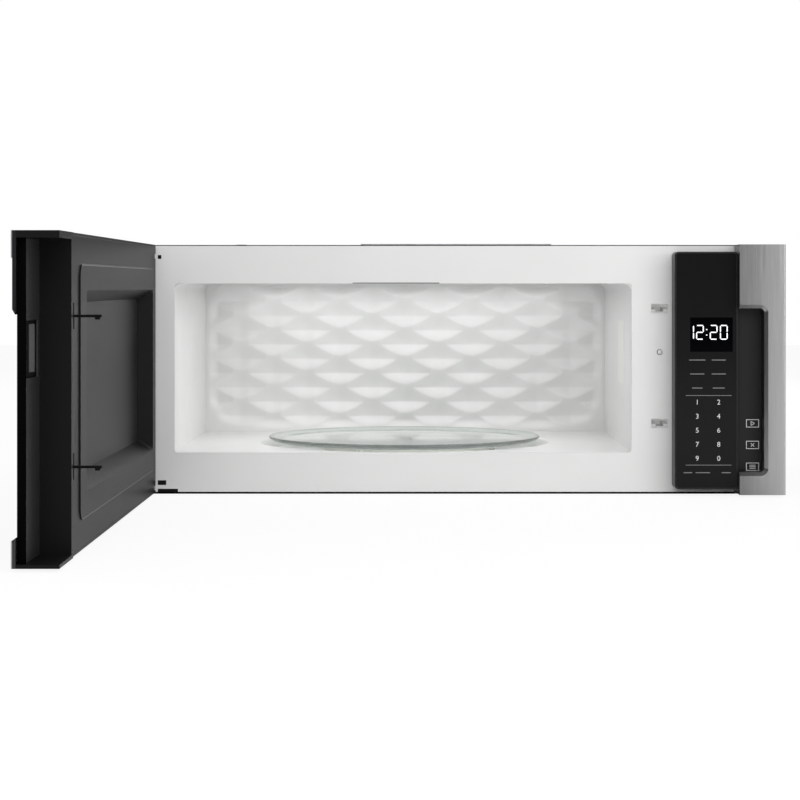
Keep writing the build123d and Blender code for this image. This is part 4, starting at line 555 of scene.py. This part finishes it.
def new_piece(name, points, faces, slot, body, material=None, smooth_angle=35):
    """A mesh piece in the row frame that rides on a body."""
    mesh = bpy.data.meshes.new(name)
    mesh.from_pydata(points, [], faces)
    mesh.validate()
    mesh.materials.append(material or finishes[slot])
    mesh.shade_smooth()
    mesh.set_sharp_from_angle(angle=math.radians(smooth_angle))
    piece = bpy.data.objects.new(name, mesh)
    bpy.context.scene.collection.objects.link(piece)
    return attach(piece, body)


def box_mesh(low, high):
    """The points and faces of a box between two corners."""
    points = list(itertools.product(*zip(low, high)))
    faces = [(0, 1, 3, 2), (4, 6, 7, 5), (0, 4, 5, 1), (2, 3, 7, 6), (0, 2, 6, 4), (1, 5, 7, 3)]
    return points, faces


def prism(near, far):
    """A solid between two outlines. Seen from the near end, both run clockwise."""
    count = len(near)
    faces = [tuple(range(count - 1, -1, -1)), tuple(range(count, 2 * count))]
    faces += [(i, (i + 1) % count, (i + 1) % count + count, i + count) for i in range(count)]
    return [*near, *far], faces


def stroke_outline(start, end, width):
    """The four corners of a straight stroke in a plane."""
    (across0, up0), (across1, up1) = start, end
    side = Vector((up0 - up1, across1 - across0)).normalized() * width / 2
    return [
        (across0 + side.x, up0 + side.y),
        (across0 - side.x, up0 - side.y),
        (across1 - side.x, up1 - side.y),
        (across1 + side.x, up1 + side.y),
    ]


def printed(outline, front):
    """The thin solid that an outline on a face that looks forward stands for."""
    raised = front - print_thickness
    return prism([(x, front, z) for x, z in outline], [(x, raised, z) for x, z in outline])


def joined(parts):
    """Several (points, faces) pairs as one."""
    points, faces = [], []
    for part_points, part_faces in parts:
        offset = len(points)
        points += part_points
        faces += [tuple(index + offset for index in face) for face in part_faces]
    return points, faces


def softened(node, width, segments=2, angle=28):
    """The node's own shape with its sharp edges rounded off, in the node's place."""
    source = nodes[node]
    mesh = source.data.copy()
    soft = bmesh.new()
    soft.from_mesh(mesh)
    bmesh.ops.remove_doubles(soft, verts=soft.verts, dist=weld_distance)
    bmesh.ops.dissolve_limit(
        soft, angle_limit=math.radians(flat_angle), verts=soft.verts, edges=soft.edges
    )
    soft.to_mesh(mesh)
    soft.free()
    mesh.shade_smooth()
    piece = bpy.data.objects.new(f"{node}_edged", mesh)
    bpy.context.scene.collection.objects.link(piece)
    bevel = piece.modifiers.new("edges", "BEVEL")
    bevel.width = width
    bevel.segments = segments
    bevel.limit_method = "ANGLE"
    bevel.angle_limit = math.radians(angle)
    bevel.use_clamp_overlap = True
    normals = piece.modifiers.new("flat_faces", "WEIGHTED_NORMAL")
    normals.weight = 100
    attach(piece, source["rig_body"])
    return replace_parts(piece, node)


# ---- Camera, floor, world and lamps ------------------------------------------------------


def make_camera():
    data = bpy.data.cameras.new("camera")
    data.sensor_width = sensor_width
    data.lens = photo_focal * sensor_width / photo_size
    data.shift_x = 0.5 - photo_centre_u / photo_size
    data.shift_y = photo_centre_v / photo_size - 0.5
    data.clip_start = 0.05
    data.clip_end = 50
    camera = bpy.data.objects.new("camera", data)
    camera.location = camera_place
    camera.rotation_euler = (math.radians(90), 0, 0)
    bpy.context.scene.collection.objects.link(camera)
    bpy.context.scene.camera = camera


def seen_rays(tree, names=("Is Camera Ray", "Is Transmission Ray")):
    """1 for the rays that look straight at the background."""
    path = tree.nodes.new("ShaderNodeLightPath")
    either = tree.nodes.new("ShaderNodeMath")
    either.operation = "MAXIMUM"
    for slot, name in enumerate(names):
        tree.links.new(path.outputs[name], either.inputs[slot])
    return either.outputs[0]


def make_world(light_level, mirrored_level):
    """White where it is seen, one level as light and another in glossy surfaces."""
    world = bpy.data.worlds.new("studio")
    bpy.context.scene.world = world
    world.use_nodes = True
    tree = world.node_tree
    tree.nodes.clear()
    levels = []
    for level in (light_level, mirrored_level, 1.0):
        background = tree.nodes.new("ShaderNodeBackground")
        background.inputs["Color"].default_value = (1, 1, 1, 1)
        background.inputs["Strength"].default_value = level
        levels.append(background.outputs[0])
    path = tree.nodes.new("ShaderNodeLightPath")
    glossy = tree.nodes.new("ShaderNodeMixShader")
    seen = tree.nodes.new("ShaderNodeMixShader")
    output = tree.nodes.new("ShaderNodeOutputWorld")
    tree.links.new(path.outputs["Is Glossy Ray"], glossy.inputs["Fac"])
    tree.links.new(levels[0], glossy.inputs[1])
    tree.links.new(levels[1], glossy.inputs[2])
    tree.links.new(seen_rays(tree), seen.inputs["Fac"])
    tree.links.new(glossy.outputs[0], seen.inputs[1])
    tree.links.new(levels[2], seen.inputs[2])
    tree.links.new(seen.outputs[0], output.inputs["Surface"])


def make_floor(white_share):
    """A pale floor: white where it is seen, with a soft part of its shadow kept. It is clear
    from below, where the part's shadow leaves the underside dark."""
    mesh = bpy.data.meshes.new("floor")
    corners = [(-1, -1), (1, -1), (1, 1), (-1, 1)]
    points = [(x * floor_reach, y * floor_reach, -floor_drop) for x, y in corners]
    mesh.from_pydata(points, [], [(0, 1, 2, 3)])
    floor = bpy.data.objects.new("floor", mesh)
    bpy.context.scene.collection.objects.link(floor)
    material = bpy.data.materials.new("floor")
    material.use_nodes = True
    tree = material.node_tree
    tree.nodes.clear()
    matt = tree.nodes.new("ShaderNodeBsdfDiffuse")
    matt.inputs["Color"].default_value = (0.9, 0.9, 0.9, 1)
    white = tree.nodes.new("ShaderNodeEmission")
    white.inputs["Color"].default_value = (1, 1, 1, 1)
    share = tree.nodes.new("ShaderNodeMath")
    share.operation = "MULTIPLY"
    share.inputs[1].default_value = white_share
    clear = tree.nodes.new("ShaderNodeBsdfTransparent")
    side = tree.nodes.new("ShaderNodeNewGeometry")
    above = tree.nodes.new("ShaderNodeMixShader")
    both = tree.nodes.new("ShaderNodeMixShader")
    output = tree.nodes.new("ShaderNodeOutputMaterial")
    tree.links.new(seen_rays(tree), share.inputs[0])
    tree.links.new(share.outputs[0], above.inputs["Fac"])
    tree.links.new(matt.outputs[0], above.inputs[1])
    tree.links.new(white.outputs[0], above.inputs[2])
    tree.links.new(side.outputs["Backfacing"], both.inputs["Fac"])
    tree.links.new(above.outputs[0], both.inputs[1])
    tree.links.new(clear.outputs[0], both.inputs[2])
    tree.links.new(both.outputs[0], output.inputs["Surface"])
    mesh.materials.append(material)


def make_lamp(name, place, target, width, height, power):
    """A soft box that faces a point. The camera doesn't see it."""
    data = bpy.data.lights.new(name, "AREA")
    data.shape = "RECTANGLE"
    data.size = width
    data.size_y = height
    data.energy = power
    lamp = bpy.data.objects.new(name, data)
    lamp.location = place
    lamp.rotation_euler = (Vector(target) - Vector(place)).to_track_quat("-Z", "Y").to_euler()
    lamp.visible_camera = False
    bpy.context.scene.collection.objects.link(lamp)


make_camera()
make_world(world_light, world_mirrored)
make_floor(floor_white)
for lamp_name, lamp_settings in room_lamps.items():
    make_lamp(lamp_name, *lamp_settings)

# Soft light under the cavity's ceiling
room_low, room_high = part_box("cavity_wrap")
room = (room_low + room_high) / 2
ceiling_place = (room.x, room.y + ceiling_lamp_back, room_high.z - ceiling_lamp_drop)
below = (ceiling_place[0], ceiling_place[1], room_low.z)
ceiling_size = (ceiling_lamp_width, ceiling_lamp_depth)
make_lamp("ceiling_lamp", ceiling_place, below, *ceiling_size, ceiling_lamp_power)

# Soft light that reaches into the cavity from its opening
mouth = (room.x, room_low.y, room.z)
mouth_width = (room_high.x - room_low.x) * mouth_share
mouth_height = (room_high.z - room_low.z) * mouth_share
inward = (room.x, room_high.y, room.z)
make_lamp("mouth_lamp", mouth, inward, mouth_width, mouth_height, mouth_lamp_power)
bpy.context.scene.view_settings.view_transform = "Standard"


# ---- Cavity ------------------------------------------------------------------------------


def outline_distance(x, z, left, right, low, high, corner):
    """How far a point lies inside a rectangle with rounded corners."""
    across = abs(x - (left + right) / 2) - (right - left) / 2 + corner
    up = abs(z - (low + high) / 2) - (high - low) / 2 + corner
    outside = math.hypot(max(across, 0), max(up, 0))
    return corner - outside - min(max(across, up), 0)


def smooth_step(value):
    value = min(max(value, 0.0), 1.0)
    return value * value * (3 - 2 * value)


def dent_depth(x, z, centre_x, top_row):
    """How deep the wall is pressed at a point. Each dent has a level upper edge: the lip
    below it is steep and ends in a point, and the slope above it is long and soft."""
    row_step = diamond_pitch_z / 2
    nearest = round((top_row - z) / row_step)
    depth = 0.0
    for row in range(nearest - 1, nearest + 4):
        shift = (row % 2) / 2
        column = round((x - centre_x) / diamond_pitch_x - shift)
        across = abs(x - centre_x - (column + shift) * diamond_pitch_x)
        across = (across * 2 / diamond_pitch_x / diamond_share) ** dish_power
        up = z - top_row + row * row_step
        if up < 0:
            depth += max(1 - across + up / lip_height, 0) ** lip_power
        else:
            depth += max(1 - across, 0) ** lip_power * (1 - smooth_step(up / slope_height))
    return depth


def make_back_wall():
    low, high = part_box("cavity_back_wall")
    floor_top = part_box("cavity_floor")[1].z
    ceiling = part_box("cavity_wrap")[1].z - wall_sheet
    centre_x = (low.x + high.x) / 2
    left, right = low.x + wall_sheet + relief_margin, high.x - wall_sheet - relief_margin
    bottom, top = floor_top + relief_margin, ceiling + relief_fade / 2
    columns = round((high.x - low.x) / relief_step)
    rows = round((high.z - low.z) / relief_step)
    points = []
    for row in range(rows + 1):
        z = low.z + (high.z - low.z) * row / rows
        for column in range(columns + 1):
            x = low.x + (high.x - low.x) * column / columns
            inside = outline_distance(x, z, left, right, bottom, top, relief_corner)
            dent = dent_depth(x, z, centre_x, ceiling - relief_top_inset)
            depth = dent * diamond_depth * smooth_step(inside / relief_fade)
            depth *= smooth_step((ceiling - z) / relief_top_fade)
            points.append((x, low.y + depth, z))
    faces = []
    for row in range(rows):
        for column in range(columns):
            start = row * (columns + 1) + column
            faces.append((start, start + 1, start + columns + 2, start + columns + 1))
    wall = new_piece("pressed_back_wall", points, faces, "cavity_enamel", "root", smooth_angle=80)
    sheet = wall.modifiers.new("sheet", "SOLIDIFY")
    sheet.thickness = wall_sheet
    sheet.offset = -1
    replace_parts(wall, "cavity_back_wall")


def make_tray():
    low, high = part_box("glass_tray")
    centre_x, centre_y = (low.x + high.x) / 2, (low.y + high.y) / 2
    upper = tray_low + tray_thickness
    profile = [
        (0.0, tray_low),
        (tray_radius - 1.7 * tray_rim, tray_low),
        (tray_radius - tray_rim, tray_low + 0.3 * mm),
        (tray_radius - 0.55 * tray_rim, tray_low + 1.6 * mm),
        (tray_radius - 0.22 * tray_rim, tray_low + 3.6 * mm),
        (tray_radius - 0.3 * mm, tray_high - 2.2 * mm),
        (tray_radius - 0.2 * mm, tray_high - 1.0 * mm),
        (tray_radius - 1.0 * mm, tray_high - 0.2 * mm),
        (tray_radius - 2.0 * mm, tray_high),
        (tray_radius - 3.2 * mm, tray_high - 0.3 * mm),
        (tray_radius - 0.75 * tray_rim, upper + 0.7 * mm),
        (tray_radius - 1.3 * tray_rim, upper + 0.1 * mm),
        (tray_radius - 2.0 * tray_rim, upper),
        (0.0, upper),
    ]
    inner = profile[1:-1]
    points = [(centre_x, centre_y, tray_low)]
    for step in range(tray_segments):
        turn = math.tau * step / tray_segments
        for radius, z in inner:
            points.append(
                (centre_x + radius * math.cos(turn), centre_y + radius * math.sin(turn), z)
            )
    points.append((centre_x, centre_y, upper))
    count, last = len(inner), len(points) - 1
    faces = []
    for step in range(tray_segments):
        here = 1 + step * count
        there = 1 + (step + 1) % tray_segments * count
        faces.append((0, there, here))
        for index in range(count - 1):
            faces.append((here + index, there + index, there + index + 1, here + index + 1))
        faces.append((here + count - 1, there + count - 1, last))
    tray = new_piece("turntable_glass", points, faces, "tray_glass", "turntable", smooth_angle=60)
    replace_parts(tray, "glass_tray")


def make_corner_flanges():
    """Small plates that close the cavity's rounded upper corners behind the front frame, in a
    darker copy of the cavity enamel that is painted shade.
    """
    low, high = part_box("cavity_wrap")
    frame_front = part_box("front_frame")[0].y
    front, back = frame_front + flange_front, frame_front + flange_back
    corner_z = high.z - wall_sheet
    parts = []
    for side, corner_x in ((1, low.x + wall_sheet), (-1, high.x - wall_sheet)):
        outline = [(corner_x, corner_z)]
        for step in range(corner_steps + 1):
            turn = math.pi / 2 * step / corner_steps
            x = corner_x + side * cavity_corner * (1 - math.sin(turn))
            outline.append((x, corner_z - cavity_corner * (1 - math.cos(turn))))
        outline = outline[::side]
        near, far = [(x, front, z) for x, z in outline], [(x, back, z) for x, z in outline]
        parts.append(prism(near, far))
    new_piece("cavity_flanges", *joined(parts), "cavity_enamel", "root", corner_shade_enamel)


make_back_wall()
make_corner_flanges()
make_tray()


# ---- Key panel, display and pocket keys --------------------------------------------------


def add_text(name, text, place, size, body, material):
    data = bpy.data.curves.new(name, "FONT")
    data.body = text
    data.size = size
    data.extrude = print_thickness / 2
    data.align_x = "CENTER"
    data.align_y = "CENTER"
    data.materials.append(material)
    piece = bpy.data.objects.new(name, data)
    piece.location = place
    piece.rotation_euler = (math.radians(90), 0, 0)
    bpy.context.scene.collection.objects.link(piece)
    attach(piece, body)


def flat_marks(name, rectangles, front, slot, body, material):
    """Thin printed rectangles (left, right, low, high) on a face that looks forward."""
    parts = [
        box_mesh((left, front - print_thickness, low), (right, front, high))
        for left, right, low, high in rectangles
    ]
    return new_piece(name, *joined(parts), slot, body, material)


def make_panel_print():
    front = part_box("panel_glass")[0].y
    panel_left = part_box("panel_housing")[0].x
    for index, digit in enumerate("1234567890"):
        x = panel_left + digit_columns[index % 2]
        z = digit_top_row - index // 2 * digit_row_step
        add_text(f"digit_{digit}", digit, (x, front, z), digit_size, "root", print_white)
    marks = []

    def mark(left, right, row, height):
        """A rectangle whose ends are measured from the panel's left edge."""
        ends = (panel_left + left, panel_left + right)
        marks.append((*ends, row - height / 2, row + height / 2))

    for row, widths in zip(label_rows, label_widths):
        for centre, width in zip(digit_columns, widths):
            mark(centre - width / 2, centre + width / 2, row, label_height)
    for centre, width in foot_marks:
        mark(centre - width / 2, centre + width / 2, foot_row, label_height)
    for row in rule_rows:
        mark(rule_left, rule_right, row, rule_height)
    flat_marks("panel_marks", marks, front, "panel_glass", "root", print_grey)


def make_clock():
    """Seven-segment figures: each segment is a bar with pointed ends."""
    low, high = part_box("display_module")
    window_left = high.x - clock_window
    front = low.y
    figures = {"0": "abcdef", "1": "bc", "2": "abged"}
    middle_z = (clock_low + clock_high) / 2
    half = clock_stroke / 2
    parts = []

    def bar(start, end, vertical):
        """A flat bar from start to end along one axis, pointed at both ends."""
        (x0, z0), (x1, z1) = start, end
        if vertical:
            outline = [
                (x0, z0 + clock_gap),
                (x0 + half, z0 + half + clock_gap),
                (x0 + half, z1 - half - clock_gap),
                (x0, z1 - clock_gap),
                (x0 - half, z1 - half - clock_gap),
                (x0 - half, z0 + half + clock_gap),
            ]
        else:
            outline = [
                (x0 + clock_gap, z0),
                (x0 + half + clock_gap, z0 - half),
                (x1 - half - clock_gap, z0 - half),
                (x1 - clock_gap, z0),
                (x1 - half - clock_gap, z0 + half),
                (x0 + half + clock_gap, z0 + half),
            ]
        parts.append(printed(outline, front))

    for figure, offset in zip(clock_text, clock_lefts):
        left = window_left + offset
        right = left + clock_digit_width
        low_z, high_z = clock_low + half, clock_high - half
        segments = {
            "a": ((left + half, high_z), (right - half, high_z), False),
            "b": ((right - half, middle_z), (right - half, high_z), True),
            "c": ((right - half, low_z), (right - half, middle_z), True),
            "d": ((left + half, low_z), (right - half, low_z), False),
            "e": ((left + half, low_z), (left + half, middle_z), True),
            "f": ((left + half, middle_z), (left + half, high_z), True),
            "g": ((left + half, middle_z), (right - half, middle_z), False),
        }
        if figure == ":":
            for z in (middle_z - clock_dot_rise, middle_z + clock_dot_rise):
                dot = (left, front - print_thickness, z - half), (left + 2 * half, front, z + half)
                parts.append(box_mesh(*dot))
            continue
        for segment in figures[figure]:
            bar(*segments[segment])
    new_piece("clock_figures", *joined(parts), "display", "root", segment_white)


def make_pocket_keys():
    """Three outlined keys with plain marks on the pocket's floor: a triangle, a cross, bars."""
    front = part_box("pocket_liner")[1].y - pocket_sheet
    right = key_left + key_width
    frames = []
    for low in key_lows:
        high = low + key_height
        frames += [
            (key_left, right, low, low + key_line),
            (key_left, right, high - key_line, high),
            (key_left, key_left + key_line, low + key_line, high - key_line),
            (right - key_line, right, low + key_line, high - key_line),
        ]
    bars_low = key_lows[2] + key_height / 2
    for offset in (-key_bar_step, 0, key_bar_step):
        middle_z = bars_low + offset
        ends = (key_left + key_bar_inset, right - key_bar_inset)
        frames.append((*ends, middle_z - key_line / 2, middle_z + key_line / 2))
    flat_marks("pocket_key_frames", frames, front, "pocket_black", "root", print_white)
    centre_x = key_left + key_width / 2
    play_z = key_lows[0] + key_height / 2
    back_x = centre_x - triangle_back
    corners = [
        (back_x, play_z - triangle_tip),
        (centre_x + triangle_tip, play_z),
        (back_x, play_z + triangle_tip),
    ]
    strokes = list(zip(corners, corners[1:] + corners[:1]))
    cross_z = key_lows[1] + key_height / 2
    for rise in (cross_reach, -cross_reach):
        first = (centre_x - cross_reach, cross_z - rise)
        second = (centre_x + cross_reach, cross_z + rise)
        strokes.append((first, second))
    parts = [printed(stroke_outline(*stroke, key_line), front) for stroke in strokes]
    new_piece("pocket_key_marks", *joined(parts), "pocket_black", "root", print_white)


make_panel_print()
make_clock()
make_pocket_keys()


# ---- Latch wells, and what shows on the door's inner side --------------------------------


def make_latch_wells():
    """Pale plates that close the space behind each latch slot, clear of the hook's path. They glow
    faintly: painted light in the wells.
    """
    low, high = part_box("latch_bracket")
    middle_x = (low.x + high.x) / 2
    left, right = middle_x - well_half_width, middle_x + well_half_width
    parts = []
    for middle in latch_heights:
        top = middle + well_top
        bottom = middle - well_bottom
        parts += [
            box_mesh((left, high.y, bottom), (right, high.y + well_sheet, top)),
            box_mesh((left, low.y + well_gap, top), (right, high.y, top + well_sheet)),
            box_mesh((left - well_sheet, low.y + well_gap, bottom), (left, high.y, top)),
            box_mesh((right, low.y + well_gap, bottom), (right + well_sheet, high.y, top)),
        ]
    new_piece("latch_wells", *joined(parts), "bracket_plastic", "root", well_glow_plastic)


def make_display_mask():
    """The dark plate in the end cover's opening, which the clock shows through when the door
    is shut, with a lighter film on the part next to the thick end."""
    low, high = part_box("door_end_cover")
    front = high.x - mask_depth
    plate = box_mesh(
        (front - mask_sheet, low.y, mask_low),
        (front, low.y + mask_length, mask_high),
    )
    new_piece("display_mask", *plate, "door_black", "door")
    film = box_mesh(
        (front, low.y + mask_length - film_length, film_low),
        (front + print_thickness, low.y + mask_length, film_high),
    )
    new_piece("display_film", *film, "door_black", "door", edge_grey)


def make_end_seal():
    """The black strip along the free end, over the edges of the end cover and its web."""
    low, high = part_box("door_end_cover")
    strip = box_mesh((low.x - web_sheet, low.y - seal_sheet, low.z), (high.x, low.y, high.z))
    new_piece("door_end_seal", *strip, "door_black", "door", seal_and_shade_black)


def ring_points(x, far, near, low, high, radius, inset):
    """A rounded rectangle in the open door's plane, some way inside its outline."""
    corners = (
        (near - radius, high - radius),
        (far + radius, high - radius),
        (far + radius, low + radius),
        (near - radius, low + radius),
    )
    reach = radius - inset
    points = []
    for quarter, (y, z) in enumerate(corners):
        for step in range(corner_steps + 1):
            turn = math.pi / 2 * (quarter + step / corner_steps)
            points.append((x, y + reach * math.cos(turn), z + reach * math.sin(turn)))
    return points


def make_field_highlight():
    """A thin painted highlight along the edge of the door's raised field."""
    low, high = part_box("door_inner_cover")
    sides = (
        low.y + field_margin_far,
        high.y - field_margin_near,
        low.z + field_margin_z,
        high.z - field_margin_z,
        field_corner,
    )
    front = high.x
    outer = ring_points(front, *sides, field_edge)
    inner = ring_points(front, *sides, field_edge + field_line)
    count = len(outer)
    faces = [(i, (i + 1) % count, count + (i + 1) % count, count + i) for i in range(count)]
    line = new_piece("field_highlight", outer + inner, faces, "door_black", "door", edge_grey)
    body = line.modifiers.new("body", "SOLIDIFY")
    body.thickness = 2 * print_thickness
    body.offset = 0


make_latch_wells()
make_display_mask()
make_end_seal()
make_field_highlight()


# ---- Thin trim on the front --------------------------------------------------------------


def make_front_trim():
    """The case's dark edges above and below the front frame, in a near-black that is partly the
    case's own black and partly painted shade of the gap above and of the floor's shadow below; a
    black slot line over the opening, which is painted shade in a slot; black marks at the hinge
    beside the door for its upper bracket and its slots, the lower marks, in its slots, being
    painted shade; and the plug in the frame's small hole."""
    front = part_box("front_frame")[0].y
    case_low, case_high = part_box("case_wrap")
    left, right = case_low.x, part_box("trim_column")[0].x
    edges = [
        (left, right, case_low.z, case_low.z + bottom_edge_height),
        (left, right, case_high.z - top_edge_height, case_high.z),
    ]
    # Near-black: the case's own edges, with painted shade of the gap above and the floor's shadow
    # below
    flat_marks("case_edges", edges, front, "case_paint", "root", seal_and_shade_black)
    # A black line over the opening: painted shade in a slot
    slot_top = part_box("cavity_wrap")[1].z - wall_sheet
    slot = [(slot_left, slot_right, slot_top, slot_top + slot_height)]
    flat_marks("slot_line", slot, front, "frame_enamel", "root", finishes["door_black"])
    # Black hinge marks; the lower ones are painted shade in the hinge's slots
    hinge_marks = [
        (hinge_mark_left, hinge_mark_left + width, low, low + height)
        for width, low, height in hinge_dark_marks
    ]
    flat_marks("hinge_dark_marks", hinge_marks, front, "frame_enamel", "root", finishes["door_black"])
    plug_front = front + plug_depth
    points = [(plug_x, plug_front, plug_z)]
    for step in range(plug_steps):
        turn = math.tau * step / plug_steps
        x, z = plug_x + plug_radius * math.cos(turn), plug_z + plug_radius * math.sin(turn)
        points.append((x, plug_front, z))
    faces = [(0, step % plug_steps + 1, (step + 1) % plug_steps + 1) for step in range(plug_steps)]
    plug = new_piece("frame_plug", points, faces, "frame_enamel", "root")
    body = plug.modifiers.new("body", "SOLIDIFY")
    body.thickness = plug_thickness
    body.offset = 1


make_front_trim()


# ---- Underside ---------------------------------------------------------------------------


def make_filter_mesh(node, body):
    """Crossed strips that fill the filter's frame, like expanded sheet."""
    low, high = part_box(node)
    left, right = low.x + filter_inset, high.x - filter_inset
    front, back = low.y + filter_inset, high.y - filter_inset
    parts = []
    width, depth = right - left, back - front
    for direction, height in filter_layers:
        under = low.z + height
        over = under + filter_strip_sheet
        offset = -depth
        while offset < width:
            start, end = max(offset, 0.0), min(offset + depth, width)
            if end - start > filter_pitch / 2:
                x0, y0 = left + start, front + (start - offset)
                x1, y1 = left + end, front + (end - offset)
                if direction == -1:
                    x0, x1 = left + right - x0, left + right - x1
                outline = stroke_outline((x0, y0), (x1, y1), filter_strip)
                near, far = [(x, y, under) for x, y in outline], [(x, y, over) for x, y in outline]
                parts.append(prism(near, far))
            offset += filter_pitch * math.sqrt(2)
    new_piece(f"{node}_mesh", *joined(parts), "filter_mesh", body)


make_filter_mesh("grease_filter_left", "filter_left")
make_filter_mesh("grease_filter_right", "filter_right")


# ---- Rounded edges on what shows ---------------------------------------------------------

edge_widths = {
    "door_frame": 0.8 * mm,
    "door_inner_cover": 0.9 * mm,
    "door_end_cover": 0.6 * mm,
    "door_glass": 0.4 * mm,
    "panel_housing": 0.5 * mm,
    "latch_bar": 0.4 * mm,
    "hinge_bracket_lower": 0.5 * mm,
    "hinge_bracket_upper": 0.5 * mm,
}
for name, width in edge_widths.items():
    softened(name, width)
bpy.data.objects["door_end_cover_edged"].data.materials[0] = cover_black
